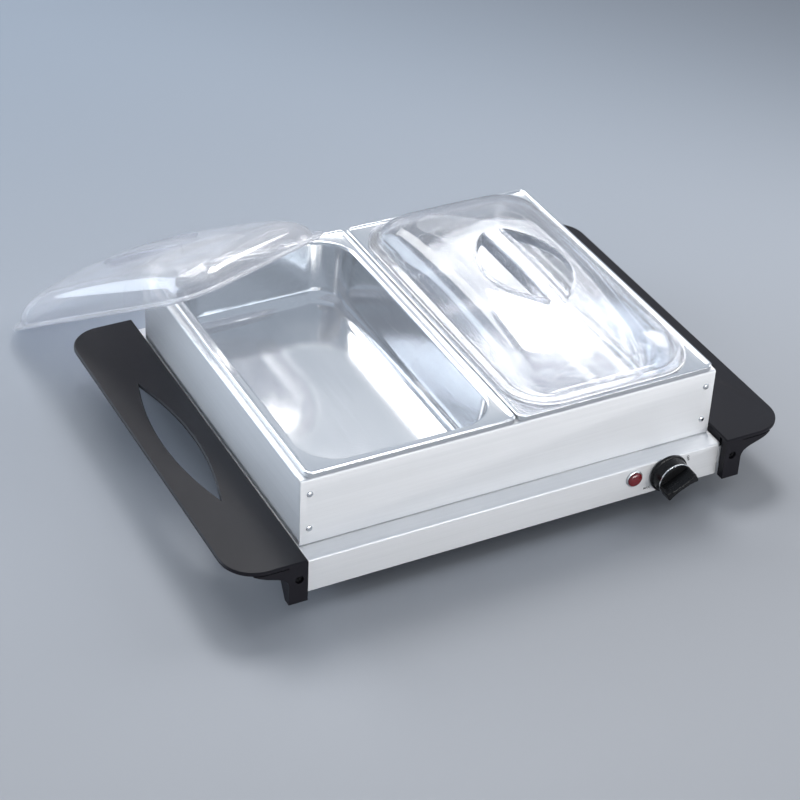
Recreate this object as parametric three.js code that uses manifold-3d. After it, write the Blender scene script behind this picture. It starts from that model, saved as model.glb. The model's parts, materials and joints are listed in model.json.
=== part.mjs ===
// Electric food warmer tray: a heated base with side handles, a frame that lifts off it, two pans
// that hang in the frame and two clear lids, the left one leaning at the back corner.
// Millimetres, +Z up, the front faces -Y and the part stands on the plane z = 0.

import * as THREE from 'three';
import { mergeVertices } from 'three/addons/utils/BufferGeometryUtils.js';
import Module from 'manifold-3d';

const wasm = await Module();
wasm.setup();

// Clearances and drawing values used all over
const gap = 0.3;
const overrun = 2;
const halfTurn = Math.PI;
const quarterTurn = Math.PI / 2;
const degree = Math.PI / 180;

// Facets round a full turn, and along the quarter turns of sheet bends
const knobSides = 32;
const roundSides = 20;
const boreSides = 18;
const rodSides = 16;
const footSides = 14;
const pinSides = 12;
const rivetSides = 10;
const nutSides = 6;
const bendSteps = 3;
const drawnBendSteps = 4;
const drawnCornerSteps = 5;
const wallSteps = 8;
const lensSteps = 12;
const elementFacets = 3;
const elementSteps = 66;
const wireFacets = 2;
const wireSteps = 26;
const shortWireSteps = 14;

// Base: a shallow steel box, its deck and its fascias
const standHeight = 15;
const baseHeight = 33;
const baseSheet = 1.2;
const baseBend = 1.8;
const baseCorner = 3;
const sideOverhang = 3.5;
const ledgeDepth = 18;

// Frame: four channel panels on the deck
const frameWidth = 400;
const frameDepth = 338;
const frameHeight = 67.2;
const frameSheet = 1.2;
const frameBend = 1.8;
const frameFlange = 8;

// Pans and how they hang
const frameBandLeft = 5.5;
const frameBandRight = 1.9;
const panEndGap = 0.4;
const panDepth = 58;
const panSheet = 0.9;
const panSpacing = 1;
const panRimWidth = 10.5;
const panOuterCorner = 7;
const panOpeningCorner = 36;
const panBottomFillet = 15;
const panWallDraft = 6;
const panEntryRadius = 3;
const beadWidth = 2.6;
const beadRise = 1.2;
const beadSlope = 1;
const beadEdge = 0.8;
const lipDrop = 4.8;

// Lids
const lidSideMargin = 6.9;
const lidEndMargin = 5.6;
const lidCorner = 42;
const lidFlange = 9;
const lidWall = 2.2;
const domeCornerShare = 0.9;
const domeTopShares = [0.35, 0.65];
const domeSteps = 6;
const domeShoulder = 22;
const domeEndShoulder = 34;
const domeEdgeHeight = 20;
const domeCrown = 14.8;
const lidCornerSteps = 5;
const lidSideSteps = 3;
const gripBarWidth = 21;
const gripLensLength = 120;
const gripLensWidth = 28;
const gripDepth = 14;
const gripOuterDepth = 6;

// Handles
const handleReach = 66.5;
const handleOverlap = 8;
const handleCorner = 30;
const handlePlate = 4;
const handleRise = 7;
const handleBevel = 1;
const handleHoleLength = 190;
const handleHoleWidth = 30;
const handleHoleOffset = 33.5;
const legWidth = 17.5;
const legDrop = 35;
const legCurveStart = 15;
const legCurveReach = 48;
const legCurveDropShare = 0.3;
const legCurveReachShare = 0.67;
const endWall = 3.5;
const gussetWall = 3;
const gussetRun = 24;
const ribWall = 3;
const ribDrop = 20;
const screwPlace = 8;
const screwDrop = 11;
const earWidth = 13;
const earDrop = 22;
const earTop = 4;

// Fasteners
const screwHead = 3.4;
const screwHeadHeight = 2.2;
const screwShank = 1.6;
const screwHole = 1.9;
const screwBore = 3.9;
const screwBoreDepth = 4.5;
const screwPast = 5;
const crossSlot = 0.9;
const crossLength = 4;
const crossDepth = 1.1;
const rivetHead = 2.9;
const rivetHeadHeight = 1.1;
const rivetShank = 1.6;
const rivetDomeShare = 0.85;
const rivetTail = 2.5;
const rivetTailHeight = 1;
const rivetInset = 8.5;
const rivetLow = 17;
const rivetHigh = 52;
const tabWidth = 12;
const tabInset = 4;

// Bar between the two pans
const barWidth = 18;
const barSheet = 1.2;
const barWeb = 9;
const barTab = 6;

// Knob and thermostat
const knobInset = 54.5;
const knobDrop = 16;
const skirtRadius = 18.5;
const skirtHeight = 3;
const skirtEaseShare = 0.25;
const skirtShoulderShare = 0.8;
const knobStandOff = 0.6;
const knobRadius = 17;
const knobFaceRadius = 16.4;
const knobHeight = 13;
const trimWidth = 1.2;
const trimHeight = 1;
const gripLength = 32;
const gripBase = 13;
const gripTop = 11.5;
const gripWaistBase = 9;
const gripWaistTop = 5;
const gripFlarePower = 4;
const gripSlices = 8;
const gripHeight = 12;
const gripSink = 0.5;
const gripAngle = 26;
const shaftRadius = 3;
const shaftClearance = 0.3;
const shaftInKnob = 9;
const shaftInside = 12;
const bushRadius = 5;
const thermostatWidth = 32;
const thermostatHeight = 23;
const thermostatDepth = 21;
const bladeWidth = 6.3;
const bladeThickness = 0.8;
const bladeLength = 8;
const bladeSpacing = 14;

// Indicator lamp
const lampSpacing = 35;
const lampDrop = 12.6;
const lensRadius = 7;
const lensBulge = 3;
const lensShoulderShare = 0.8;
const lensShoulderRiseShare = 0.75;
const lensCrownShare = 0.45;
const lensStem = 4;
const lensStemLength = 3;
const bezelRadius = 8.2;
const bezelHeight = 1.5;
const lampBarrel = 5.4;
const lampBarrelWall = 1.1;
const lampLength = 22;
const lampClipRadius = 8.5;
const lampClipThickness = 1.5;
const bulbRadius = 4;
const bulbLength = 11;

// Cord gland in the back fascia
const glandInset = 73.5;
const glandDrop = 17;
const glandBore = 3.8;
const glandBarrel = 7;
const glandFlange = 9.5;
const glandFlangeHeight = 3;
const glandInside = 9;
const glandNutRadius = 10.5;
const glandNutHeight = 4;

// Underside
const coverSheet = 1;
const coverRecess = 0.6;
const coverLip = 2.8;
const postRadius = 4.2;
const postInset = 15;
const footRadius = 11;
const footTipRadius = 9;
const footStud = 3;
const footBarb = 4.4;
const footBarbHeight = 2;
const footInset = 40;

// Heater
const plateSideMargin = 31.5;
const plateEndMargin = 56;
const plateThickness = 2.5;
const elementRadius = 3.2;
const elementRunCount = 4;
const elementMargin = 34;
const elementLead = 14;
const clampWidth = 12;
const clampSheet = 1;
const clampMargin = 8;
const clampShare = 0.26;
const reflectorSheet = 0.8;
const reflectorMargin = 5;
const reflectorDepth = 15;
const reflectorLip = 5;
const reflectorNotch = 10;

// Wiring
const wireRadius = 1.3;
const wireBend = 6;
const wireClear = 2.4;
const wireEaseShare = 0.06;
const earthOffset = 27.5;
const earthInset = 23;
const earthStud = 2;
const earthStudLength = 9;
const earthCollar = 3.5;
const earthCollarHeight = 2.5;
const earthTagRadius = 5;
const earthTagSheet = 0.8;
const earthNutRadius = 4;
const earthNutHeight = 3;
const fuseRadius = 2.6;
const fuseLength = 15;
const fuseX = 20;
const saddleWidth = 7;
const saddleWall = 1;
const saddleFoot = 4;
const blockLength = 44;
const blockDepth = 15;
const blockHeight = 12;
const blockPoleCount = 4;
const blockScrew = 1.8;
const blockWay = 1.6;
const blockOffset = 12;

// How the left lid leans: the place of its middle as shares of the frame, its turn, and the
// range in which its tilt is looked for
const leanXShare = -0.422;
const leanYShare = 0.589;
const leanTurnAngle = 19.8;
const leanShallowAngle = -22;
const leanSteepAngle = -38;
const leanGap = 0.35;
const leanSpan = 175;
const leanSampleCount = 70;
const leanRoundCount = 11;

// Places that follow from the sizes above
const baseBottom = standHeight;
const deckTop = baseBottom + baseHeight;
const deckUnderside = deckTop - baseSheet;
const baseWidth = frameWidth + 2 * sideOverhang;
const baseDepth = frameDepth + 2 * ledgeDepth;
const panWidth = (frameWidth - frameBandLeft - frameBandRight - panSpacing) / 2;
const panLength = frameDepth - 2 * panEndGap;
const panShift = (frameBandLeft - frameBandRight) / 2;
const lidWidth = panWidth - 2 * lidSideMargin;
const lidLength = panLength - 2 * lidEndMargin;
const plateWidth = baseWidth - 2 * plateSideMargin;
const plateDepth = baseDepth - 2 * plateEndMargin;
const knobX = baseWidth / 2 - knobInset;
const lampX = knobX - lampSpacing;
const glandX = baseWidth / 2 - glandInset;
const blockX = glandX - glandNutRadius - blockOffset - blockLength;
const earthX = blockX - earthOffset;
const earthY = baseDepth / 2 - earthInset;
const frontFace = -baseDepth / 2;
const frontInside = frontFace + baseSheet;
const frameBottom = deckTop + gap;
const frameTop = frameBottom + frameHeight;
const beadTop = frameTop + gap + lipDrop;
const panFlangeTop = beadTop - beadRise;
const panX = (panWidth + panSpacing) / 2;
const lidSeat = panFlangeTop + gap;
const coverTop = baseBottom + coverRecess + coverSheet;
const coverUnderside = baseBottom + coverRecess;
const plateTop = deckUnderside - gap;
const plateUnderside = plateTop - plateThickness;
const elementHeight = plateUnderside - gap - elementRadius;
const reflectorFloor = deckUnderside - gap - reflectorDepth;
const knobHeightAbove = deckTop - knobDrop;
const lampHeight = deckTop - lampDrop;
const glandHeight = deckTop - glandDrop;
const earthTagTop = deckUnderside - earthCollarHeight - gap;
const postX = baseWidth / 2 - postInset;
const postY = baseDepth / 2 - postInset;
const footX = baseWidth / 2 - footInset;
const footY = baseDepth / 2 - footInset;

// Finishes
const metal = (color, roughness) => new THREE.MeshStandardMaterial({ color, roughness, metalness: 1 });
const plastic = (color, roughness) => new THREE.MeshStandardMaterial({ color, roughness, metalness: 0 });
const brushedSteel = metal(0xc9cacb, 0.32);
const polishedSteel = metal(0xdfe0e2, 0.14);
const platedSteel = metal(0xb9babc, 0.35);
const blackenedSteel = metal(0x2b2b2d, 0.45);
const aluminium = metal(0xb4b6b8, 0.4);
const darkPlastic = plastic(0x3d3c3f, 0.48);
const glossBlack = plastic(0x161617, 0.2);
const rubber = plastic(0x1f1f20, 0.85);
const moulded = plastic(0xd8d5cc, 0.5);
const redLens = plastic(0x8f1a20, 0.2);
const insulation = plastic(0xc9b48a, 0.7);
const clearPlastic = new THREE.MeshStandardMaterial({
  color: 0xe4e8f0, roughness: 0.08, metalness: 0, transparent: true, opacity: 0.3,
});

// Booleans
function solidOf(geometry) {
  const bare = geometry.clone();
  for (const name of Object.keys(bare.attributes)) {
    if (name !== 'position') bare.deleteAttribute(name);
  }
  const merged = mergeVertices(bare);
  return new wasm.Manifold(new wasm.Mesh({
    numProp: 3,
    vertProperties: new Float32Array(merged.attributes.position.array),
    triVerts: new Uint32Array(merged.index.array),
  }));
}

function geometryOf(solid) {
  const mesh = solid.getMesh();
  const geometry = new THREE.BufferGeometry();
  geometry.setAttribute('position', new THREE.BufferAttribute(new Float32Array(mesh.vertProperties), 3));
  geometry.setIndex(new THREE.BufferAttribute(new Uint32Array(mesh.triVerts), 1));
  return geometry;
}

const joined = (...geometries) => geometries.map(solidOf).reduce((all, next) => all.add(next));
const cutFrom = (solid, ...geometries) => (
  geometries.map(solidOf).reduce((left, tool) => left.subtract(tool), solid));

// Primitive stock, each placed by its real limits
function block(x0, x1, y0, y1, z0, z1) {
  const box = new THREE.BoxGeometry(x1 - x0, y1 - y0, z1 - z0);
  return box.translate((x0 + x1) / 2, (y0 + y1) / 2, (z0 + z1) / 2);
}

function rodY(radius, x, y0, y1, z, sides = boreSides) {
  return new THREE.CylinderGeometry(radius, radius, y1 - y0, sides).translate(x, (y0 + y1) / 2, z);
}

function rodZ(radius, x, y, z0, z1, sides = pinSides) {
  const rod = new THREE.CylinderGeometry(radius, radius, z1 - z0, sides).rotateX(quarterTurn);
  return rod.translate(x, y, (z0 + z1) / 2);
}

// A turned form; its closed profile may be given either way round
function turned(points, sides = roundSides) {
  const profile = points.map(([r, y]) => new THREE.Vector2(r, y));
  const area = THREE.ShapeUtils.area(profile);
  return new THREE.LatheGeometry(area < 0 ? profile.reverse() : profile, sides);
}

function prism(shape, depth, curveSegments = wallSteps) {
  return new THREE.ExtrudeGeometry(shape, { depth, bevelEnabled: false, curveSegments });
}

// A tube along a curve, straight through its points
function tube(points, radius, sides, steps) {
  const circle = new THREE.Shape();
  circle.absarc(0, 0, radius, 0, 2 * halfTurn);
  const path = new THREE.CatmullRomCurve3(points.map((p) => new THREE.Vector3(...p)), false, 'centripetal');
  return new THREE.ExtrudeGeometry(circle, {
    steps, curveSegments: sides, extrudePath: path, bevelEnabled: false,
  });
}

// One ring of points round a rounded rectangle, with the same count for every size
function ring(halfX, halfY, radius, height, cornerSteps, sideSteps) {
  const corners = [[1, 1], [-1, 1], [-1, -1], [1, -1]];
  const flat = corners.flatMap(([sx, sy], corner) => Array.from({ length: cornerSteps + 1 }, (_, step) => {
    const angle = (corner + step / cornerSteps) * quarterTurn;
    return [
      sx * (halfX - radius) + radius * Math.cos(angle),
      sy * (halfY - radius) + radius * Math.sin(angle),
    ];
  }));
  const outline = [];
  flat.forEach(([x, y], i) => {
    outline.push([x, y]);
    if ((i + 1) % (cornerSteps + 1) !== 0) return;
    const [nextX, nextY] = flat[(i + 1) % flat.length];
    for (let step = 1; step < sideSteps; step += 1) {
      const share = step / sideSteps;
      outline.push([x + (nextX - x) * share, y + (nextY - y) * share]);
    }
  });
  const level = typeof height === 'function' ? height : () => height;
  return outline.map(([x, y]) => new THREE.Vector3(x, y, level(x, y)));
}

// A closed solid through rings, closed at both ends by a fan to a middle point
function ringSolid(rings, firstHeight, lastHeight) {
  const count = rings[0].length;
  const positions = rings.flat().flatMap((p) => [p.x, p.y, p.z]);
  const index = [];
  for (let r = 0; r + 1 < rings.length; r += 1) {
    for (let i = 0; i < count; i += 1) {
      const a = r * count + i;
      const b = r * count + ((i + 1) % count);
      index.push(a, b, a + count, b, b + count, a + count);
    }
  }
  const first = rings.length * count;
  const last = first + 1;
  positions.push(0, 0, firstHeight, 0, 0, lastHeight);
  const lastRing = (rings.length - 1) * count;
  for (let i = 0; i < count; i += 1) {
    const next = (i + 1) % count;
    index.push(first, next, i, last, lastRing + i, lastRing + next);
  }
  const geometry = new THREE.BufferGeometry();
  geometry.setAttribute('position', new THREE.BufferAttribute(new Float32Array(positions), 3));
  geometry.setIndex(signedVolume(positions, index) < 0 ? index.reverse() : index);
  return geometry;
}

function signedVolume(positions, index) {
  const corner = (i) => new THREE.Vector3().fromArray(positions, 3 * index[i]);
  let volume = 0;
  for (let i = 0; i < index.length; i += 3) {
    volume += corner(i).dot(corner(i + 1).cross(corner(i + 2)));
  }
  return volume;
}

// A six-sided nut with a round bore, standing on y = 0
function nut(radius, bore, height) {
  const prismatic = new THREE.CylinderGeometry(radius, radius, height, nutSides).translate(0, height / 2, 0);
  return geometryOf(cutFrom(solidOf(prismatic), rodY(bore, 0, -overrun, height + overrun, 0, rodSides)));
}

// The other side of a sheet: a profile of [inset, height, corner radius], walked outwards from the
// middle, moved by the sheet's thickness to its right-hand side
function otherSide(profile, sheet) {
  const normalOf = ([a, za], [b, zb]) => {
    const length = Math.hypot(b - a, zb - za);
    return [(zb - za) / length, (b - a) / length];
  };
  return profile.map(([inset, z, radius], i) => {
    const before = i === 0 ? [0, -1] : normalOf(profile[i - 1], profile[i]);
    const last = profile.length - 1;
    const after = normalOf(profile[Math.min(i, last - 1)], profile[Math.min(i + 1, last)]);
    const stretch = sheet / (1 + before[0] * after[0] + before[1] * after[1]);
    const outwards = (before[0] + after[0]) * stretch;
    const upwards = (before[1] + after[1]) * stretch;
    return [inset - outwards, z + upwards, radius + outwards];
  });
}

function sheetSolid(profile, sheet, halfX, halfY, cornerSteps) {
  const loop = [...profile, ...otherSide(profile, sheet).reverse()];
  const rings = loop.map(([inset, z, radius]) => (
    ring(halfX - inset, halfY - inset, radius, z, cornerSteps, 1)));
  return ringSolid(rings, loop[0][1], loop[loop.length - 1][1]);
}

// Points of a quarter round, as [across, up] from its centre
function quarterRound(radius, steps, from, to) {
  return Array.from({ length: steps + 1 }, (_, i) => {
    const angle = from + (to - from) * (i / steps);
    return [radius * Math.cos(angle), radius * Math.sin(angle)];
  });
}

// A lens outline with its straight chord on x = 0, bulging towards +x
function lensShape(length, width) {
  const half = length / 2;
  const radius = (half * half + width * width) / (2 * width);
  const spread = Math.asin(half / radius);
  const shape = new THREE.Shape();
  shape.absarc(width - radius, 0, radius, -spread, spread, false);
  shape.closePath();
  return shape;
}

const part = new THREE.Group();

function addTo(group, name, geometry, material, place = [0, 0, 0], turn = 0) {
  const mesh = new THREE.Mesh(geometry, material);
  mesh.name = name;
  mesh.position.set(...place);
  mesh.rotation.z = turn;
  group.add(mesh);
  return mesh;
}

const base = new THREE.Group();
const frame = new THREE.Group();
const knobGroup = new THREE.Group();
part.add(base, frame, knobGroup);

// Base housing: deck and fascias in one pressing, with screw posts under the deck and an ear
// beside each end of the front and back fascias for the handles
function baseHousing() {
  const halfX = baseWidth / 2;
  const halfY = baseDepth / 2;
  const bend = quarterRound(baseBend, bendSteps, quarterTurn, 0).map(([across, up]) => (
    [baseBend - across, deckTop - baseBend + up, baseCorner]));
  const profile = [...bend, [0, baseBottom, baseCorner]];
  const shell = solidOf(sheetSolid(profile, baseSheet, halfX, halfY, bendSteps));
  const additions = [];
  for (const sx of [-1, 1]) {
    for (const sy of [-1, 1]) {
      additions.push(rodZ(postRadius, sx * postX, sy * postY, coverTop + gap, deckUnderside + baseSheet / 2));
      const earX = [sx * (halfX - baseSheet), sx * (halfX + earWidth)].sort((a, b) => a - b);
      const earY = [sy * halfY, sy * (halfY - baseSheet)].sort((a, b) => a - b);
      additions.push(block(...earX, ...earY, deckTop - earDrop, deckTop - earTop));
    }
  }
  const rooted = deckUnderside + baseSheet / 2;
  additions.push(rodZ(earthStud, earthX, earthY, deckUnderside - earthStudLength, rooted, pinSides));
  additions.push(rodZ(earthCollar, earthX, earthY, deckUnderside - earthCollarHeight, rooted, pinSides));
  const solid = additions.reduce((all, piece) => all.add(solidOf(piece)), shell);
  const cuts = [
    rodY(bushRadius + gap, knobX, frontFace - overrun, frontInside + overrun, knobHeightAbove),
    rodY(lampBarrel + gap, lampX, frontFace - overrun, frontInside + overrun, lampHeight),
    rodY(glandBarrel + gap, glandX, -frontInside - overrun, -frontFace + overrun, glandHeight),
  ];
  for (const sx of [-1, 1]) {
    for (const sy of [-1, 1]) {
      const x = sx * (halfX + screwPlace);
      const y = sy * (halfY - baseSheet / 2);
      cuts.push(rodY(screwHole, x, y - overrun, y + overrun, deckTop - screwDrop, pinSides));
      cuts.push(rodZ(screwHole, sx * postX, sy * postY, coverTop, coverTop + screwPast + overrun, pinSides));
    }
  }
  return geometryOf(cutFrom(solid, ...cuts));
}

function bottomCover() {
  const halfX = baseWidth / 2 - baseSheet - gap;
  const halfY = baseDepth / 2 - baseSheet - gap;
  const corner = baseCorner - baseSheet;
  const profile = [
    [coverSheet, coverTop, corner - coverSheet / 2],
    [coverSheet, coverTop + coverLip, corner - coverSheet / 2],
  ];
  const tray = solidOf(sheetSolid(profile, coverSheet, halfX, halfY, bendSteps));
  const hole = (radius, x, y, sides) => (
    rodZ(radius, x, y, coverUnderside - overrun, coverTop + overrun, sides));
  const holes = [];
  for (const sx of [-1, 1]) {
    for (const sy of [-1, 1]) {
      holes.push(hole(screwHole, sx * postX, sy * postY, pinSides));
      holes.push(hole(footStud + gap, sx * footX, sy * footY, rodSides));
    }
  }
  return geometryOf(cutFrom(tray, ...holes));
}

// A cross-head screw whose head's face is at the origin and whose shank runs along +Y
function screw(length) {
  const body = solidOf(turned([
    [0, 0], [screwHead - screwShank / 4, 0], [screwHead, screwHeadHeight / 3], [screwHead, screwHeadHeight],
    [screwShank, screwHeadHeight], [screwShank, length - screwShank], [0, length],
  ], pinSides));
  const arm = crossLength / 2;
  const half = crossSlot / 2;
  return geometryOf(cutFrom(
    body,
    block(-arm, arm, -overrun, crossDepth, -half, half),
    block(-half, half, -overrun, crossDepth, -arm, arm),
  ));
}

function foot() {
  const top = standHeight + coverRecess - gap;
  return turned([
    [0, 0], [footTipRadius, 0], [footRadius, top - overrun], [footRadius, top], [footStud, top],
    [footStud, coverTop + gap], [footBarb, coverTop + gap], [footStud, coverTop + gap + footBarbHeight],
    [0, coverTop + gap + footBarbHeight],
  ], footSides).rotateX(quarterTurn);
}

addTo(base, 'base_housing', baseHousing(), brushedSteel);
addTo(base, 'bottom_cover', bottomCover(), platedSteel);
const places = [['front_left', -1, -1], ['front_right', 1, -1], ['back_left', -1, 1], ['back_right', 1, 1]];
const coverScrew = screw(coverTop - coverUnderside + screwHeadHeight + gap + screwPast).rotateX(quarterTurn);
const footForm = foot();
for (const [place, sx, sy] of places) {
  const under = coverUnderside - gap - screwHeadHeight;
  addTo(base, `foot_${place}`, footForm, rubber, [sx * footX, sy * footY, 0]);
  addTo(base, `cover_screw_${place}`, coverScrew, platedSteel, [sx * postX, sy * postY, under]);
}

// Handle: a flat plate with a pointed oval hole, an end wall that sweeps down into a leg at the
// front and back, and a rib against the side of the base. Drawn for the right side, from x = 0.
function handle() {
  const halfLength = baseDepth / 2 + handleOverlap;
  const under = handleRise - handlePlate;
  const rim = handleReach - handleBevel;
  const end = halfLength - handleBevel;
  const outline = new THREE.Shape();
  outline.moveTo(gap + handleBevel, -end);
  outline.lineTo(rim - handleCorner, -end);
  outline.absarc(rim - handleCorner, -end + handleCorner, handleCorner, -quarterTurn, 0, false);
  outline.absarc(rim - handleCorner, end - handleCorner, handleCorner, 0, quarterTurn, false);
  outline.lineTo(gap + handleBevel, end);
  outline.closePath();
  const holeHalf = handleHoleLength / 2;
  const holeWide = handleHoleWidth / 2;
  const holeRadius = (holeHalf * holeHalf + holeWide * holeWide) / (2 * holeWide);
  const holeSpread = Math.asin(holeHalf / holeRadius);
  const hole = new THREE.Path();
  hole.absarc(handleHoleOffset + holeWide - holeRadius, 0, holeRadius, -holeSpread, holeSpread, false);
  const farCentre = handleHoleOffset - holeWide + holeRadius;
  hole.absarc(farCentre, 0, holeRadius, halfTurn - holeSpread, halfTurn + holeSpread, false);
  outline.holes.push(hole);
  const plate = new THREE.ExtrudeGeometry(outline, {
    depth: handlePlate - 2 * handleBevel,
    bevelThickness: handleBevel,
    bevelSize: handleBevel,
    bevelSegments: 1,
    curveSegments: 8,
  }).translate(0, 0, under + handleBevel);

  const solidOutline = new THREE.Shape();
  solidOutline.moveTo(gap, -halfLength);
  solidOutline.lineTo(handleReach - handleCorner, -halfLength);
  solidOutline.absarc(
    handleReach - handleCorner, -halfLength + handleCorner, handleCorner, -quarterTurn, 0, false);
  solidOutline.lineTo(handleReach, 0);
  solidOutline.lineTo(gap, 0);
  solidOutline.closePath();
  const reach = solidOf(prism(solidOutline, legDrop + under + overrun).translate(0, 0, -legDrop - overrun));

  const wall = new THREE.Shape();
  wall.moveTo(gap, under + handlePlate / 2);
  wall.lineTo(gap, -legDrop);
  wall.lineTo(legWidth, -legDrop);
  wall.lineTo(legWidth, -legCurveStart);
  const sweepDrop = legCurveStart * legCurveDropShare;
  const sweepReach = legCurveReach * legCurveReachShare;
  wall.bezierCurveTo(legWidth, -sweepDrop, sweepReach, -sweepDrop, legCurveReach, under);
  wall.lineTo(legCurveReach, under + handlePlate / 2);
  wall.closePath();
  const standing = prism(wall, endWall).rotateX(quarterTurn).translate(0, endWall - halfLength, 0);
  const sweep = solidOf(standing).intersect(reach);
  const legDepth = handleOverlap - gap;
  const legY = -halfLength;
  const leg = block(gap, legWidth, legY, legY + legDepth, -legDrop, under + handlePlate / 2);
  const gusset = new THREE.Shape();
  gusset.moveTo(legY + legDepth / 2, -legDrop);
  gusset.lineTo(legY + legDepth, -legDrop);
  gusset.lineTo(legY + legDepth + gussetRun, under + handlePlate / 2);
  gusset.lineTo(legY + legDepth / 2, under + handlePlate / 2);
  gusset.closePath();
  const gussetForm = prism(gusset, gussetWall).rotateZ(quarterTurn).rotateY(quarterTurn);
  const ribFront = -baseDepth / 2 + overrun + baseSheet;
  const rib = block(gap, gap + ribWall, ribFront, 0, -ribDrop, under + handlePlate / 2);
  const front = sweep.add(solidOf(leg)).add(solidOf(gussetForm.translate(legWidth - gussetWall, 0, 0)));
  const half = front.add(solidOf(rib));
  const both = half.add(half.mirror([0, 1, 0])).add(solidOf(plate));
  const cuts = [];
  for (const side of [-1, 1]) {
    const face = side * halfLength;
    const bottom = side * (halfLength - screwBoreDepth);
    const through = side * (halfLength - handleOverlap - overrun);
    const span = (a, b) => [Math.min(a, b), Math.max(a, b)];
    const [c0, c1] = span(face + side * overrun, bottom);
    const [t0, t1] = span(face, through);
    cuts.push(rodY(screwBore, screwPlace, c0, c1, -screwDrop, boreSides));
    cuts.push(rodY(screwHole, screwPlace, t0, t1, -screwDrop, pinSides));
  }
  return geometryOf(cutFrom(both, ...cuts));
}

const handleForm = handle();
addTo(base, 'handle_right', handleForm, darkPlastic, [baseWidth / 2, 0, deckTop]);
addTo(base, 'handle_left', handleForm, darkPlastic, [-baseWidth / 2, 0, deckTop], halfTurn);
const handleScrew = screw(handleOverlap - screwBoreDepth + screwHeadHeight + baseSheet + screwPast);
for (const [place, sx, sy] of places) {
  const seat = baseDepth / 2 + handleOverlap - screwBoreDepth + gap + screwHeadHeight;
  const x = sx * (baseWidth / 2 + screwPlace);
  addTo(base, `handle_screw_${place}`, handleScrew, blackenedSteel,
    [x, sy * seat, deckTop - screwDrop], sy > 0 ? halfTurn : 0);
}

// Frame panels: a channel with its flanges turned inwards, drawn along X with its face at y = 0
function channelShape(flange) {
  const shape = new THREE.Shape();
  const inner = frameBend - frameSheet;
  shape.moveTo(flange, 0);
  shape.lineTo(frameBend, 0);
  shape.absarc(frameBend, frameBend, frameBend, -quarterTurn, -halfTurn, true);
  shape.lineTo(0, frameHeight - frameBend);
  shape.absarc(frameBend, frameHeight - frameBend, frameBend, halfTurn, quarterTurn, true);
  shape.lineTo(flange, frameHeight);
  shape.lineTo(flange, frameHeight - frameSheet);
  shape.lineTo(frameBend, frameHeight - frameSheet);
  shape.absarc(frameBend, frameHeight - frameBend, inner, quarterTurn, halfTurn, false);
  shape.lineTo(frameSheet, frameBend);
  shape.absarc(frameBend, frameBend, inner, halfTurn, 3 * quarterTurn, false);
  shape.lineTo(flange, frameSheet);
  shape.closePath();
  return shape;
}

function channel(length) {
  return prism(channelShape(frameFlange), length, bendSteps)
    .rotateX(quarterTurn).rotateZ(quarterTurn).translate(-length / 2, 0, 0);
}

const rivetHoles = (length, faceY) => [-1, 1].flatMap((side) => [rivetLow, rivetHigh].map((z) => (
  rodY(rivetShank + gap, side * (length / 2 - rivetInset), faceY - overrun, faceY + overrun, z, pinSides))));

function frontPanel() {
  return geometryOf(cutFrom(solidOf(channel(frameWidth)), ...rivetHoles(frameWidth, frameSheet / 2)));
}

// Side panel: its wall runs between the front and back panels, its flanges stop short of theirs,
// and a tab at each end turns in behind them for the rivets
function sidePanel() {
  const wallLength = frameDepth - 2 * (frameSheet + gap);
  const flangeLength = frameDepth - 2 * (frameFlange + gap);
  const body = solidOf(channel(wallLength));
  const ends = [-1, 1].flatMap((side) => {
    const [x0, x1] = [(side * flangeLength) / 2, side * (wallLength / 2 + overrun)].sort((a, b) => a - b);
    const cut = (z0, z1) => block(x0, x1, -overrun, frameFlange + overrun, z0, z1);
    return [cut(-overrun, frameBend), cut(frameHeight - frameBend, frameHeight + overrun)];
  });
  const tabs = [-1, 1].map((side) => {
    const [x0, x1] = [side * wallLength / 2, side * (wallLength / 2 - frameSheet)].sort((a, b) => a - b);
    return block(x0, x1, frameSheet / 2, frameSheet + tabWidth, tabInset, frameHeight - tabInset);
  });
  const withTabs = tabs.reduce((all, tab) => all.add(solidOf(tab)), cutFrom(body, ...ends));
  const holes = [-1, 1].flatMap((side) => [rivetLow, rivetHigh].map((z) => (
    rodY(rivetShank + gap, -rivetInset, -overrun, overrun, z, pinSides)
      .rotateZ(-quarterTurn).translate(side * (wallLength / 2 - frameSheet / 2), 0, 0))));
  return geometryOf(cutFrom(withTabs, ...holes));
}

const frontForm = frontPanel();
const sideForm = sidePanel();
addTo(frame, 'frame_front', frontForm, brushedSteel, [0, -frameDepth / 2, frameBottom]);
addTo(frame, 'frame_back', frontForm, brushedSteel, [0, frameDepth / 2, frameBottom], halfTurn);
addTo(frame, 'frame_left', sideForm, brushedSteel, [-frameWidth / 2, 0, frameBottom], -quarterTurn);
addTo(frame, 'frame_right', sideForm, brushedSteel, [frameWidth / 2, 0, frameBottom], quarterTurn);

// A domed rivet, head outside y = 0 and its tail behind both sheets
function rivet() {
  const grip = 2 * frameSheet + 3 * gap;
  return turned([
    [0, -gap - rivetHeadHeight], [rivetHead / 2, -gap - rivetHeadHeight],
    [rivetHead * rivetDomeShare, -gap - rivetHeadHeight / 2], [rivetHead, -gap], [rivetShank, -gap],
    [rivetShank, grip], [rivetTail, grip], [rivetTail, grip + rivetTailHeight], [0, grip + rivetTailHeight],
  ], rivetSides);
}

const rivetForm = rivet();
for (const [place, sx, sy] of places) {
  for (const [level, z] of [['low', rivetLow], ['high', rivetHigh]]) {
    addTo(frame, `rivet_${place}_${level}`, rivetForm, polishedSteel,
      [sx * (frameWidth / 2 - rivetInset), sy * frameDepth / 2, frameBottom + z], sy > 0 ? halfTurn : 0);
  }
}

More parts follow.
